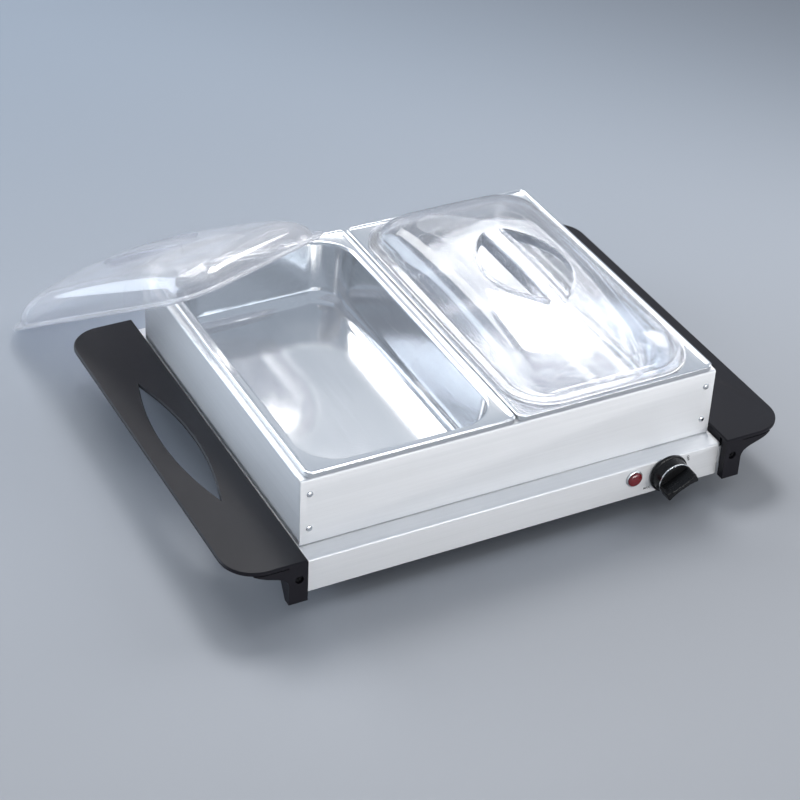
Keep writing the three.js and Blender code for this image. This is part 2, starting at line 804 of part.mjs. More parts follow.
// The bar between the pans, level with the flanges, with a web below and a tab under each flange
function crossBar() {
  const half = barWidth / 2;
  const inside = frameDepth / 2 - frameFlange - gap;
  const tabEnd = inside + gap + barTab;
  const under = -frameSheet - gap;
  return geometryOf(joined(
    block(-half, half, -inside, inside, -barSheet, 0),
    block(-barSheet / 2, barSheet / 2, -inside, inside, -barWeb, -barSheet / 2),
    block(-half, half, -tabEnd, -inside + barTab, under - barSheet, under),
    block(-half, half, inside - barTab, tabEnd, under - barSheet, under),
  ));
}
addTo(frame, 'cross_bar', crossBar(), brushedSteel, [panShift, 0, frameTop]);

// Pan: one drawn sheet from its flat floor up the wall, over the flange and bead to the lip
function pan() {
  const wallInset = panRimWidth + panWallDraft;
  const floorInset = wallInset + panBottomFillet;
  const openingRadius = (inset) => panOpeningCorner - (inset - panRimWidth);
  const fillet = quarterRound(panBottomFillet, drawnBendSteps, -quarterTurn, 0).map(([across, up]) => {
    const inset = floorInset - across;
    return [inset, -panDepth + panBottomFillet + up, Math.max(openingRadius(inset), panEntryRadius)];
  });
  const entry = quarterRound(panEntryRadius, bendSteps, 0, quarterTurn).map(([across, up]) => {
    const inset = panRimWidth - panEntryRadius + across;
    return [inset, up - panEntryRadius, openingRadius(inset)];
  });
  const innerBead = panOuterCorner - beadWidth;
  const profile = [
    ...fillet,
    ...entry,
    [beadWidth + beadSlope, 0, innerBead],
    [beadWidth, beadRise, innerBead],
    [beadEdge, beadRise, panOuterCorner - beadEdge],
    [0, beadRise - beadEdge, panOuterCorner],
    [0, beadRise - lipDrop, panOuterCorner],
  ];
  return sheetSolid(profile, panSheet, panWidth / 2, panLength / 2, drawnCornerSteps);
}

const panForm = pan();
const panLeftX = -panX + panShift;
const panRightX = panX + panShift;
addTo(part, 'pan_left', panForm, polishedSteel, [panLeftX, 0, panFlangeTop]);
addTo(part, 'pan_right', panForm, polishedSteel, [panRightX, 0, panFlangeTop]);

// Lid: a flat flange, a shoulder that rises as a quarter ellipse and a crowned top. Two lens-shaped
// recesses leave a bar between them to hold it by.
const domeHalfX = lidWidth / 2 - lidFlange;
const domeHalfY = lidLength / 2 - lidFlange;

function crownAt(x, y) {
  return domeCrown * (1 - (x / domeHalfX) ** 2) * (1 - (y / domeHalfY) ** 2);
}

function domeRings(inwards, downwards) {
  const shoulder = Array.from({ length: domeSteps }, (_, i) => {
    const turn = ((i + 1) / domeSteps) * quarterTurn;
    return { across: 1 - Math.cos(turn), rise: Math.sin(turn) };
  });
  const top = domeTopShares.map((share) => ({ across: 1, rise: 1, share }));
  return [...shoulder, ...top].map(({ across, rise, share = 0 }) => {
    const insetX = across * domeShoulder;
    const insetY = across * domeEndShoulder;
    const halfX = (domeHalfX - insetX - inwards * (1 - across)) * (1 - share);
    const halfY = (domeHalfY - insetY - inwards * (1 - across)) * (1 - share);
    const radius = Math.min(lidCorner - lidFlange, halfX * domeCornerShare);
    const height = (x, y) => lidWall + domeEdgeHeight * rise + crownAt(x, y) - downwards;
    return ring(halfX, halfY, radius, height, lidCornerSteps, lidSideSteps);
  });
}

function lid() {
  const corner = lidCorner - lidFlange;
  const flat = (inset, z, radius) => ring(
    lidWidth / 2 - inset, lidLength / 2 - inset, radius, z, lidCornerSteps, lidSideSteps);
  const middle = lidWall + domeEdgeHeight + domeCrown;
  const outer = solidOf(ringSolid([
    flat(0, 0, lidCorner), flat(0, lidWall, lidCorner), flat(lidFlange, lidWall, corner),
    ...domeRings(0, 0),
  ], 0, middle));
  const foot0 = flat(lidFlange + lidWall, -overrun, corner - lidWall);
  const foot1 = flat(lidFlange + lidWall, 0, corner - lidWall);
  const cavity = [foot0, foot1, ...domeRings(lidWall, lidWall)];
  const inner = solidOf(ringSolid(cavity, -overrun, middle - lidWall));

  const recess = (grow, drop) => {
    const lens = prism(lensShape(gripLensLength + 2 * grow, gripLensWidth + 2 * grow), 2 * middle, lensSteps)
      .translate(gripBarWidth / 2 - grow, 0, 0);
    const slope = new THREE.Shape();
    slope.moveTo(0, middle - gripDepth - drop);
    slope.lineTo(gripBarWidth / 2, middle - gripDepth - drop);
    slope.lineTo(gripBarWidth / 2 + gripLensWidth, middle - gripOuterDepth - domeCrown / 4 - drop);
    slope.lineTo(lidWidth, middle - gripOuterDepth - drop);
    slope.lineTo(lidWidth, 2 * middle);
    slope.lineTo(0, 2 * middle);
    slope.closePath();
    const above = prism(slope, gripLensLength * 2).rotateX(quarterTurn).translate(0, gripLensLength, 0);
    return solidOf(lens).intersect(solidOf(above));
  };
  const cup = recess(lidWall, lidWall).intersect(outer);
  const hollow = recess(0, 0);
  const cups = cup.add(cup.mirror([1, 0, 0]));
  const hollows = hollow.add(hollow.mirror([1, 0, 0]));
  return geometryOf(outer.subtract(inner).add(cups).subtract(hollows));
}

const lidForm = lid();
addTo(part, 'lid_right', lidForm, clearPlastic, [panRightX, 0, lidSeat]);
const leaning = addTo(part, 'lid_left', lidForm, clearPlastic);

// The left lid stands on its far end's straight edge and leans on the side rim of the left pan.
// Its tilt is the smallest that clears the rims of the pan and the edges of the frame.
function settle(mesh) {
  const rimX = panLeftX - panWidth / 2;
  const rimY = panLength / 2;
  const edges = Array.from({ length: leanSampleCount + 1 }, (_, i) => {
    const along = (i / leanSampleCount) * leanSpan;
    return [
      new THREE.Vector3(rimX, rimY - along, beadTop),
      new THREE.Vector3(rimX + along, rimY, beadTop),
      new THREE.Vector3(-frameWidth / 2, rimY - along, frameTop),
      new THREE.Vector3(rimX + along, frameDepth / 2, frameTop),
    ];
  }).flat();
  const up = new THREE.Vector3(0, 0, 1);
  const caster = new THREE.Raycaster();
  const probe = new THREE.Mesh(mesh.geometry, new THREE.MeshBasicMaterial({ side: THREE.DoubleSide }));

  const clears = (tilt) => {
    probe.rotation.set(tilt, 0, leanTurnAngle * degree, 'ZXY');
    probe.position.set(leanXShare * frameWidth, leanYShare * frameDepth, 0);
    probe.updateMatrixWorld(true);
    probe.position.z = leanGap - new THREE.Box3().setFromObject(probe, true).min.z;
    probe.updateMatrixWorld(true);
    return edges.every((point) => {
      caster.set(point.clone().addScaledVector(up, -lidLength), up);
      const hits = caster.intersectObject(probe);
      return hits.length === 0 || hits[0].distance >= lidLength + leanGap;
    });
  };
  let steep = leanSteepAngle * degree;
  let shallow = leanShallowAngle * degree;
  for (let round = 0; round < leanRoundCount; round += 1) {
    const middle = (steep + shallow) / 2;
    if (clears(middle)) steep = middle;
    else shallow = middle;
  }
  clears(steep);
  mesh.position.copy(probe.position);
  mesh.rotation.copy(probe.rotation);
}
settle(leaning);

// Knob, drawn with the fascia at y = 0 and its face towards -Y
function knob() {
  const face = -knobStandOff - knobHeight;
  const body = solidOf(turned([
    [0, -knobStandOff], [skirtRadius - skirtHeight * skirtEaseShare, -knobStandOff],
    [skirtRadius, -knobStandOff - skirtHeight * skirtEaseShare],
    [skirtRadius, -knobStandOff - skirtHeight * skirtShoulderShare],
    [knobRadius, -knobStandOff - skirtHeight],
    [knobFaceRadius, face + trimHeight + gap], [knobFaceRadius - trimWidth - gap, face + trimHeight + gap],
    [knobFaceRadius - trimWidth - gap, face], [0, face],
  ], knobSides));
  const grip = new THREE.BoxGeometry(gripLength, gripHeight, gripBase, gripSlices, 1, 1);
  const position = grip.attributes.position;
  for (let i = 0; i < position.count; i += 1) {
    const [waist, end] = position.getY(i) < 0 ? [gripWaistTop, gripTop] : [gripWaistBase, gripBase];
    const flare = Math.abs(2 * position.getX(i) / gripLength) ** gripFlarePower;
    position.setZ(i, Math.sign(position.getZ(i)) * (waist + (end - waist) * flare) / 2);
  }
  grip.translate(0, face + gripSink - gripHeight / 2 - gap, 0).rotateY(-gripAngle * degree);
  const neckLength = gap + gripSink + overrun;
  const neck = new THREE.BoxGeometry(2 * (knobFaceRadius - trimWidth) - gripBase, neckLength, gripTop)
    .translate(0, face + neckLength / 2 - gripSink - gap, 0).rotateY(-gripAngle * degree);
  const behind = rodY(knobRadius + overrun, 0, face - gap, face + overrun, 0, knobSides);
  const raised = solidOf(grip).subtract(solidOf(behind));
  const whole = body.add(raised).add(solidOf(neck));
  return geometryOf(cutFrom(whole,
    rodY(shaftRadius + shaftClearance, 0, -knobStandOff - shaftInKnob - gap, overrun, 0, roundSides)));
}

function knobTrim() {
  const face = -knobStandOff - knobHeight;
  const outside = knobFaceRadius;
  const inside = knobFaceRadius - trimWidth;
  const back = face + trimHeight;
  const profile = [[inside, face], [outside, face], [outside, back], [inside, back], [inside, face]];
  return turned(profile, knobSides);
}

const knobPlace = [knobX, frontFace, knobHeightAbove];
addTo(knobGroup, 'knob', knob(), glossBlack, knobPlace);
addTo(knobGroup, 'knob_trim', knobTrim(), polishedSteel, knobPlace);
const shaftForm = rodY(
  shaftRadius, 0, -knobStandOff - shaftInKnob, baseSheet + shaftInside, 0, roundSides);
addTo(knobGroup, 'thermostat_shaft', shaftForm, platedSteel, knobPlace);

function thermostat() {
  const front = baseSheet + gap;
  const back = front + thermostatDepth;
  const [halfX, halfZ] = [thermostatWidth / 2, thermostatHeight / 2];
  const blades = [-1, 1].map((side) => block(
    side * bladeSpacing / 2 - bladeWidth / 2, side * bladeSpacing / 2 + bladeWidth / 2,
    back - overrun, back + bladeLength, -bladeThickness / 2, bladeThickness / 2));
  const body = joined(
    block(-halfX, halfX, front, back, -halfZ, halfZ),
    rodY(bushRadius, 0, gap / 2, front + overrun, 0),
    ...blades,
  );
  return geometryOf(cutFrom(body,
    rodY(shaftRadius + shaftClearance, 0, -overrun, baseSheet + shaftInside + gap, 0, roundSides)));
}
addTo(base, 'thermostat_body', thermostat(), insulation, knobPlace);

// Indicator lamp, drawn with the fascia at y = 0
const lampPlace = [lampX, frontFace, lampHeight];
const lampBore = lampBarrel - lampBarrelWall;
addTo(base, 'lamp_housing', turned([
  [lampBore, -gap - bezelHeight / 2], [lensRadius + gap, -gap - bezelHeight / 2],
  [lensRadius + gap, -gap - bezelHeight],
  [bezelRadius, -gap - bezelHeight / 2], [bezelRadius, -gap], [lampBarrel, -gap], [lampBarrel, lampLength],
  [lampBore, lampLength], [lampBore, -gap - bezelHeight / 2],
]), polishedSteel, lampPlace);
const lensBack = -2 * gap - bezelHeight / 2;
addTo(base, 'lamp_lens', turned([
  [0, lensBack + lensStemLength], [lensStem, lensBack + lensStemLength], [lensStem, lensBack],
  [lensRadius, lensBack], [lensRadius, lensBack - lensBulge / 3],
  [lensRadius * lensShoulderShare, lensBack - lensBulge * lensShoulderRiseShare],
  [lensRadius * lensCrownShare, lensBack - lensBulge], [0, lensBack - lensBulge],
]), redLens, lampPlace);
const bulbForm = rodY(bulbRadius, 0, lensStemLength, lensStemLength + bulbLength, 0, rodSides);
addTo(base, 'neon_bulb', bulbForm, moulded, lampPlace);
const clipFront = baseSheet + gap;
addTo(base, 'lamp_clip', turned([
  [lampBarrel + gap, clipFront], [lampClipRadius, clipFront], [lampClipRadius, clipFront + lampClipThickness],
  [lampBarrel + gap, clipFront + lampClipThickness], [lampBarrel + gap, clipFront],
], roundSides), platedSteel, lampPlace);

// Cord gland and its nut, drawn from the back fascia at y = 0 with the outside towards +Y
const glandPlace = [glandX, -frontFace, glandHeight];
addTo(base, 'cord_gland', turned([
  [glandBore, -baseSheet - glandInside], [glandBarrel, -baseSheet - glandInside], [glandBarrel, gap],
  [glandFlange, gap], [glandFlange, gap + glandFlangeHeight / 2], [glandBarrel, gap + glandFlangeHeight],
  [glandBore, gap + glandFlangeHeight],
  [glandBore, -baseSheet - glandInside],
]), glossBlack, glandPlace);
addTo(base, 'gland_nut', nut(glandNutRadius, glandBarrel + gap, glandNutHeight)
  .translate(0, -baseSheet - gap - glandNutHeight, 0), glossBlack, glandPlace);

// Heater: a spreader plate under the deck, a bent tube element, straps and a reflector tray
addTo(base, 'heater_plate', block(
  -plateWidth / 2, plateWidth / 2, -plateDepth / 2, plateDepth / 2, plateUnderside, plateTop), aluminium);

function elementPath() {
  const reach = plateWidth / 2 - elementMargin;
  const pitch = (plateDepth - 2 * elementMargin) / (elementRunCount - 1);
  const bend = pitch / 2;
  const front = -plateDepth / 2 + elementMargin;
  const points = [];
  const leadX = reach - bend;
  points.push([leadX, front - elementLead - elementMargin, elementHeight]);
  points.push([leadX, front - bend, elementHeight]);
  for (let run = 0; run < elementRunCount; run += 1) {
    const y = front + run * pitch;
    const side = run % 2 === 0 ? -1 : 1;
    const from = run === 0 ? leadX - bend : -side * (reach - bend);
    points.push([from, y, elementHeight], [0, y, elementHeight], [side * (reach - bend), y, elementHeight]);
    if (run + 1 < elementRunCount) points.push([side * reach, y + bend, elementHeight]);
  }
  const backY = front + (elementRunCount - 1) * pitch;
  points.push([reach + elementMargin / 4, backY - bend, elementHeight]);
  points.push([reach + elementMargin / 3, 0, elementHeight]);
  points.push([reach + elementMargin / 3, front - bend, elementHeight]);
  points.push([reach + elementMargin / 3, front - elementLead - elementMargin, elementHeight]);
  return points;
}
const elementPoints = elementPath();
const elementEnds = [elementPoints[0], elementPoints[elementPoints.length - 1]];
const elementForm = tube(elementPoints, elementRadius, elementFacets, elementSteps);
addTo(base, 'heater_element', elementForm, blackenedSteel);

function elementClamp() {
  const half = plateDepth / 2 - clampMargin;
  const low = elementHeight - elementRadius - gap - clampSheet;
  const top = plateUnderside - gap;
  const side = clampWidth / 2;
  return geometryOf(joined(
    block(-side, side, -half, half, low, low + clampSheet),
    block(-side, side, -half, -half + clampSheet, low, top),
    block(-side, side, half - clampSheet, half, low, top),
  ));
}
const clampForm = elementClamp();
addTo(base, 'element_clamp_left', clampForm, platedSteel, [-clampShare * plateWidth, 0, 0]);
addTo(base, 'element_clamp_right', clampForm, platedSteel, [clampShare * plateWidth, 0, 0]);

function reflectorTray() {
  const halfX = plateWidth / 2 + reflectorMargin + reflectorLip;
  const halfY = plateDepth / 2 + reflectorMargin + reflectorLip;
  const top = deckUnderside - gap;
  const corner = reflectorLip + reflectorSheet;
  const profile = [
    [reflectorLip + reflectorSheet, reflectorFloor + reflectorSheet, corner],
    [reflectorLip + reflectorSheet, top, corner],
    [0, top, corner + reflectorLip],
  ];
  const tray = solidOf(sheetSolid(profile, reflectorSheet, halfX, halfY, bendSteps));
  const notches = elementEnds.map(([x]) => block(
    x - reflectorNotch / 2, x + reflectorNotch / 2, -halfY - overrun, -halfY + 2 * reflectorLip,
    elementHeight - reflectorNotch / 2, deckTop));
  return geometryOf(cutFrom(tray, ...notches));
}
addTo(base, 'reflector_tray', reflectorTray(), aluminium);

// Terminal block on the cover beside the gland, thermal fuse in its saddle under the reflector
const blockY = -frontInside - coverSheet - coverRecess - blockDepth;
const blockPitch = blockLength / blockPoleCount;

function terminalBlock() {
  const solid = solidOf(block(0, blockLength, 0, blockDepth, 0, blockHeight));
  const cuts = Array.from({ length: blockPoleCount }, (_, i) => {
    const x = i * blockPitch + blockPitch / 2;
    return [
      rodY(blockWay, x, -overrun, blockDepth / 3, blockHeight / 3, pinSides),
      rodZ(blockScrew, x, blockDepth / 2, blockHeight / 2, blockHeight + overrun, pinSides),
    ];
  }).flat();
  return geometryOf(cutFrom(solid, ...cuts));
}
const blockPlace = [blockX, blockY, coverTop + gap];
addTo(base, 'terminal_block', terminalBlock(), moulded, blockPlace);

const fuseZ = reflectorFloor - gap - saddleWall - gap - fuseRadius;
const fuseY = plateDepth / 4;
const fuseForm = new THREE.CylinderGeometry(fuseRadius, fuseRadius, fuseLength, rodSides);
addTo(base, 'thermal_fuse', fuseForm.rotateZ(quarterTurn), moulded, [fuseX, fuseY, fuseZ]);

function fuseSaddle() {
  const inside = fuseRadius + gap;
  const outside = inside + saddleWall;
  const half = saddleWidth / 2;
  const top = fuseRadius + gap + saddleWall;
  return geometryOf(joined(
    block(-half, half, -outside, -inside, -outside, top),
    block(-half, half, inside, outside, -outside, top),
    block(-half, half, -outside, outside, -outside, -inside),
    block(-half, half, -outside - saddleFoot, -inside, top - saddleWall, top),
    block(-half, half, inside, outside + saddleFoot, top - saddleWall, top),
  ));
}
addTo(base, 'fuse_saddle', fuseSaddle(), platedSteel, [fuseX, fuseY, fuseZ]);

// Earth tag and nut on a stud under the deck
addTo(base, 'earth_tag', turned([
  [earthStud + gap, 0], [earthTagRadius, 0], [earthTagRadius, earthTagSheet],
  [earthStud + gap, earthTagSheet], [earthStud + gap, 0],
], roundSides).rotateX(quarterTurn), platedSteel, [earthX, earthY, earthTagTop - earthTagSheet]);
const earthNutForm = nut(earthNutRadius, earthStud + gap, earthNutHeight).rotateX(quarterTurn);
addTo(base, 'earth_nut', earthNutForm, platedSteel,
  [earthX, earthY, earthTagTop - earthTagSheet - gap - earthNutHeight]);

// Wires, each a tube that leaves one face, drops to the space under the reflector and enters another
const pole = (i) => [
  blockX + i * blockPitch + blockPitch / 2, blockY - gap, coverTop + gap + blockHeight / 3];
const wireLevel = reflectorFloor - wireClear - wireRadius;

function wire([x0, y0, z0], [outX0, outY0], [x1, y1, z1], [outX1, outY1], level = wireLevel) {
  const start = [x0 + outX0 * wireBend, y0 + outY0 * wireBend];
  const end = [x1 + outX1 * wireBend, y1 + outY1 * wireBend];
  const along = (share) => [...start.map((from, axis) => from + (end[axis] - from) * share), level];
  const run = [0, wireEaseShare, 1 / 2, 1 - wireEaseShare, 1].map(along);
  const points = [[x0, y0, z0], [...start, z0], ...run, [...end, z1], [x1, y1, z1]];
  const spaced = points.filter((p, i) => i === 0 || (
    new THREE.Vector3(...p).distanceTo(new THREE.Vector3(...points[i - 1])) > wireRadius));
  return tube(spaced, wireRadius, wireFacets, wireSteps);
}

const forwards = [0, -1];
const backwards = [0, 1];
const leadEnds = elementEnds.map(([x, y, z]) => [x, y - gap, z]);
const bladeTip = frontInside + gap + thermostatDepth + bladeLength + gap;
const bladeEnd = (side) => [knobX + (side * bladeSpacing) / 2, bladeTip, knobHeightAbove];
const fuseEnd = (side) => [fuseX + side * (fuseLength / 2 + gap), fuseY, fuseZ];
const tagEdge = [earthX + earthTagRadius + gap, earthY, earthTagTop - earthTagSheet / 2];
addTo(base, 'wire_element_to_fuse', wire(leadEnds[0], forwards, fuseEnd(1), [1, 0]), insulation);
addTo(base, 'wire_fuse_to_block', wire(fuseEnd(-1), [-1, 0], pole(1), forwards), insulation);
addTo(base, 'wire_lamp_to_block',
  wire([lampX, frontFace + lampLength + gap, lampHeight], backwards, pole(2), forwards), insulation);
addTo(base, 'wire_thermostat_to_block', wire(bladeEnd(-1), backwards, pole(3), forwards), insulation);
addTo(base, 'wire_thermostat_to_element', tube([
  bladeEnd(1), [bladeEnd(1)[0], bladeEnd(1)[1] + wireBend / 2, knobHeightAbove],
  [leadEnds[1][0], leadEnds[1][1] - wireBend / 2, leadEnds[1][2]], leadEnds[1],
], wireRadius, wireFacets, shortWireSteps), insulation);
addTo(base, 'earth_lead', wire(pole(0), forwards, tagEdge, [1, 0], tagEdge[2]), insulation);

part.updateMatrixWorld(true);
const reach = new THREE.Box3().setFromObject(part, true);
part.position.set(-(reach.min.x + reach.max.x) / 2, -(reach.min.y + reach.max.y) / 2, 0);

export default part;
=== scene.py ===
import json
import math

import bmesh
import bpy
import numpy as np
from mathutils import Matrix, Vector


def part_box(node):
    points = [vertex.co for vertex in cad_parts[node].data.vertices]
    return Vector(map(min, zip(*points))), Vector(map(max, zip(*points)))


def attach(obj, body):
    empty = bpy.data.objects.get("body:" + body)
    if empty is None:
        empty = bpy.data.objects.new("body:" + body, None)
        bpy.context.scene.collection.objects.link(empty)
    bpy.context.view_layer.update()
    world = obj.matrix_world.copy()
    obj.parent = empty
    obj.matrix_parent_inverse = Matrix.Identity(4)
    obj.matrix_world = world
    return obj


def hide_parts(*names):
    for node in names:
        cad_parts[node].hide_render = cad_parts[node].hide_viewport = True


# An electric warming tray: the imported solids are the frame, and the finer surfaces and every
# finish are made here. The settings of the pieces are in millimetres; those of the camera, the
# floor and the lamps are in metres, as the scene is.
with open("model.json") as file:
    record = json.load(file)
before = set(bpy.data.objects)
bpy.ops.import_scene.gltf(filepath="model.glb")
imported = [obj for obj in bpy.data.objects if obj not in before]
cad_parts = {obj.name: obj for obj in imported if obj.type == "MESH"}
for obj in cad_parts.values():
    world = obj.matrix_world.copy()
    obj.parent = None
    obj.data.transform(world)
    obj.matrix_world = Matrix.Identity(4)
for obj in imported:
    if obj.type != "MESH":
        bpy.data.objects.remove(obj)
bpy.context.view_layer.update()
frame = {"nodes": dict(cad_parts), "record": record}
record = frame["record"]
nodes = frame["nodes"]
bodyOf = {node: body for body, members in record["behaviour"]["bodies"].items() for node in members}
slotOf = {row["node"]: row["material_slot"] for row in record["subparts"]}
mm = 0.001
quarter = math.pi / 2
nearAxis = 0.01  # the radius at which a turned form starts and ends
print("frame loaded:", len(nodes), "nodes")

# Camera, solved from the photograph's two rows of right-angled edges; it looks at a point given
# from the middle of the base
cameraSettings = {
    "lookAt": (-0.05014, -0.05449, 0.080),
    "distance": 1.97373,
    "azimuth": -28.7535,
    "elevation": 35.024,
    "roll": -2.979,
    "lens": 101.448,
}


def makeCamera(s):
    turn, rise, roll = (math.radians(s[key]) for key in ("azimuth", "elevation", "roll"))
    back = Vector((math.sin(turn) * math.cos(rise), -math.cos(turn) * math.cos(rise), math.sin(rise)))
    level = Vector((math.cos(turn), math.sin(turn), 0))
    upright = back.cross(level)
    up = upright * math.cos(roll) + level * math.sin(roll)
    right = up.cross(back)
    data = bpy.data.cameras.new("camera")
    data.lens = s["lens"]
    camera = bpy.data.objects.new("camera", data)
    bpy.context.scene.collection.objects.link(camera)
    axes = Matrix((right, up, back)).transposed().to_4x4()
    low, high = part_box("base_housing")
    target = Vector(((low.x + high.x) / 2, (low.y + high.y) / 2, 0)) + Vector(s["lookAt"])
    camera.matrix_world = Matrix.Translation(target + back * s["distance"]) @ axes
    bpy.context.scene.camera = camera


makeCamera(cameraSettings)
print("camera placed")


# Node sockets that take part in plain arithmetic
class Wire:
    def __init__(self, finish, socket):
        self.finish = finish
        self.socket = socket

    def joinedBy(self, operation, first, second):
        return self.finish.add("ShaderNodeMath", {"operation": operation}, {0: first, 1: second})

    def __add__(self, other):
        return self.joinedBy("ADD", self, other)

    def __sub__(self, other):
        return self.joinedBy("SUBTRACT", self, other)

    def __mul__(self, other):
        return self.joinedBy("MULTIPLY", self, other)

    def __rsub__(self, other):
        return self.joinedBy("SUBTRACT", other, self)

    __radd__ = __add__
    __rmul__ = __mul__


# A material under construction: add() makes any node and returns its socket as a Wire
class Finish:
    def __init__(self, name, tree=None):
        if tree is None:
            self.material = bpy.data.materials.new(name)
            self.material.use_nodes = True
            tree = self.material.node_tree
        self.tree = tree
        self.tree.nodes.clear()

    def add(self, kind, settings=None, sockets=None, take=0):
        node = self.tree.nodes.new(kind)
        for key, value in (settings or {}).items():
            setattr(node, key, value)
        for key, value in (sockets or {}).items():
            if isinstance(value, Wire):
                self.tree.links.new(value.socket, node.inputs[key])
            else:
                node.inputs[key].default_value = value
        return Wire(self, node.outputs[take]) if len(node.outputs) else None

    def place(self, scale=(1, 1, 1)):
        where = self.add("ShaderNodeTexCoord", take="Object")
        return self.add("ShaderNodeMapping", None, {"Vector": where, "Scale": scale})

    def part(self, vector, axis):
        # One of the three values of a vector
        return self.add("ShaderNodeSeparateXYZ", None, {0: vector}, axis)

    def noise(self, where, scale=1.0, detail=2.0, roughness=0.5):
        values = {"Vector": where, "Scale": scale, "Detail": detail, "Roughness": roughness}
        return self.add("ShaderNodeTexNoise", None, values, "Fac")

    def between(self, share, low, high):
        return self.add("ShaderNodeMapRange", None, {0: share, 3: low, 4: high})

    def around(self, share, middle, spread):
        return self.between(share, middle - spread, middle + spread)

    def smooth(self, value, start, end):
        # 0 before the start and 1 past the end, with an even ease between
        ease = {"interpolation_type": "SMOOTHSTEP"}
        return self.add("ShaderNodeMapRange", ease, {0: value, 1: start, 2: end})

    def mixed(self, share, first, second):
        first, second = ((*c, 1) if isinstance(c, tuple) else c for c in (first, second))
        return self.add("ShaderNodeMix", {"data_type": "RGBA"}, {0: share, 6: first, 7: second}, 2)

    def bump(self, height, s):
        # Relief of one strength, its full height given in millimetres
        values = {"Strength": s["relief"], "Distance": s["reliefHeight"] * mm, "Height": height}
        return self.add("ShaderNodeBump", None, values)

    def seen(self):
        # 1 for what the camera sees, straight or through metal and clear plastic
        straight, mirrored, through = (
            self.add("ShaderNodeLightPath", take=f"Is {kind} Ray")
            for kind in ("Camera", "Glossy", "Transmission"))
        return straight + mirrored + through

    def surface(self, **values):
        named = {key.replace("_", " "): value for key, value in values.items()}
        return self.add("ShaderNodeBsdfPrincipled", None, {
            key: (*value, 1) if isinstance(value, tuple) else value for key, value in named.items()})

    def close(self, shader):
        self.add("ShaderNodeOutputMaterial", None, {"Surface": shader})
        return self.material

    def done(self, **values):
        return self.close(self.surface(**values))


def brushed(name, s):
    # Brushed sheet: fine hair lines along one axis, broad faint streaks, and a slight wave of the
    # sheet
    finish = Finish(name)
    fine = [s["across"]] * 3
    fine[s["axis"]] = s["along"]
    broad = [value * s["broadShare"] for value in fine]
    hair = finish.noise(finish.place(tuple(fine)), detail=3.0, roughness=0.65)
    streak = finish.noise(finish.place(tuple(broad)))
    smudge = finish.noise(finish.place(), s["smudge"], detail=3.0)
    wave = finish.noise(finish.place(), s["waves"], detail=1.0)
    grain = hair * s["hairShare"] + streak * (1 - s["hairShare"])
    tone = finish.mixed(grain, s["dark"], s["light"])
    tone = finish.mixed(smudge * s["smudgeShare"], tone, s["dull"])
    gloss = finish.around(hair, s["gloss"], s["glossSpread"]) + smudge * s["smudgeGloss"]
    height = hair * s["hairHeight"] + wave * s["waveHeight"]
    return finish.done(Base_Color=tone, Metallic=1.0, Roughness=gloss, Normal=finish.bump(height, s))


brushedSettings = {
    "axis": 0, "along": 22.0, "across": 2600.0, "broadShare": 0.13, "hairShare": 0.6,
    "dark": (0.80, 0.80, 0.80), "light": (0.95, 0.95, 0.95), "dull": (0.72, 0.725, 0.73),
    "smudge": 14.0, "smudgeShare": 0.14, "smudgeGloss": 0.05, "gloss": 0.58, "glossSpread": 0.07,
    "waves": 11.0, "waveHeight": 0.16, "hairHeight": 0.034, "relief": 1.0, "reliefHeight": 1.0,
}
brushedAlongX = brushed("brushedSteelAlongX", brushedSettings)
brushedAlongY = brushed("brushedSteelAlongY", {**brushedSettings, "axis": 1})
polishedSettings = {
    **brushedSettings, "axis": 1, "across": 1500.0,
    "dark": (0.74, 0.745, 0.75), "light": (0.90, 0.905, 0.91), "dull": (0.70, 0.71, 0.72),
    "smudge": 20.0, "gloss": 0.12, "glossSpread": 0.04, "waves": 16.0, "waveHeight": 0.06,
    "hairHeight": 0.003,
}
polishedSteel = brushed("polishedSteel", polishedSettings)


def spangled(name, s):
    # Plated or rolled sheet: soft cloudy spangle
    finish = Finish(name)
    where = finish.place()
    values = {"Vector": where, "Scale": s["spangle"]}
    spangle = finish.add("ShaderNodeTexVoronoi", None, values, "Color")
    patch = finish.add("ShaderNodeSeparateColor", None, {0: spangle})
    cloud = finish.noise(where, s["spangle"] / 3, detail=3.0)
    darker = tuple(value * s["darkShare"] for value in s["tone"])
    tone = finish.mixed(patch * 0.5 + cloud * 0.5, darker, s["tone"])
    gloss = finish.between(cloud, s["gloss"] - s["smoother"], s["gloss"] + s["rougher"])
    grain = finish.noise(where, s["grain"])
    return finish.done(Base_Color=tone, Metallic=1.0, Roughness=gloss, Normal=finish.bump(grain, s))


spangleSettings = {
    "tone": (0.68, 0.69, 0.70), "darkShare": 0.78, "spangle": 240.0, "grain": 1800.0,
    "gloss": 0.34, "smoother": 0.06, "rougher": 0.10, "relief": 0.25, "reliefHeight": 0.1,
}
platedSteel = spangled("platedSteel", spangleSettings)
aluminium = spangled("rolledAluminium", {
    **spangleSettings, "tone": (0.78, 0.79, 0.80), "gloss": 0.36, "spangle": 60.0})
blackenedSteel = spangled("blackenedSteel", {
    **spangleSettings, "tone": (0.035, 0.035, 0.038), "gloss": 0.42, "spangle": 500.0})


# What every moulded, rubber or printed finish has, unless its own settings say otherwise
mouldedSettings = {
    "scuff": (40.0, 260.0, 40.0), "grainGloss": 0.05, "shine": 0.5, "reliefHeight": 0.2,
}


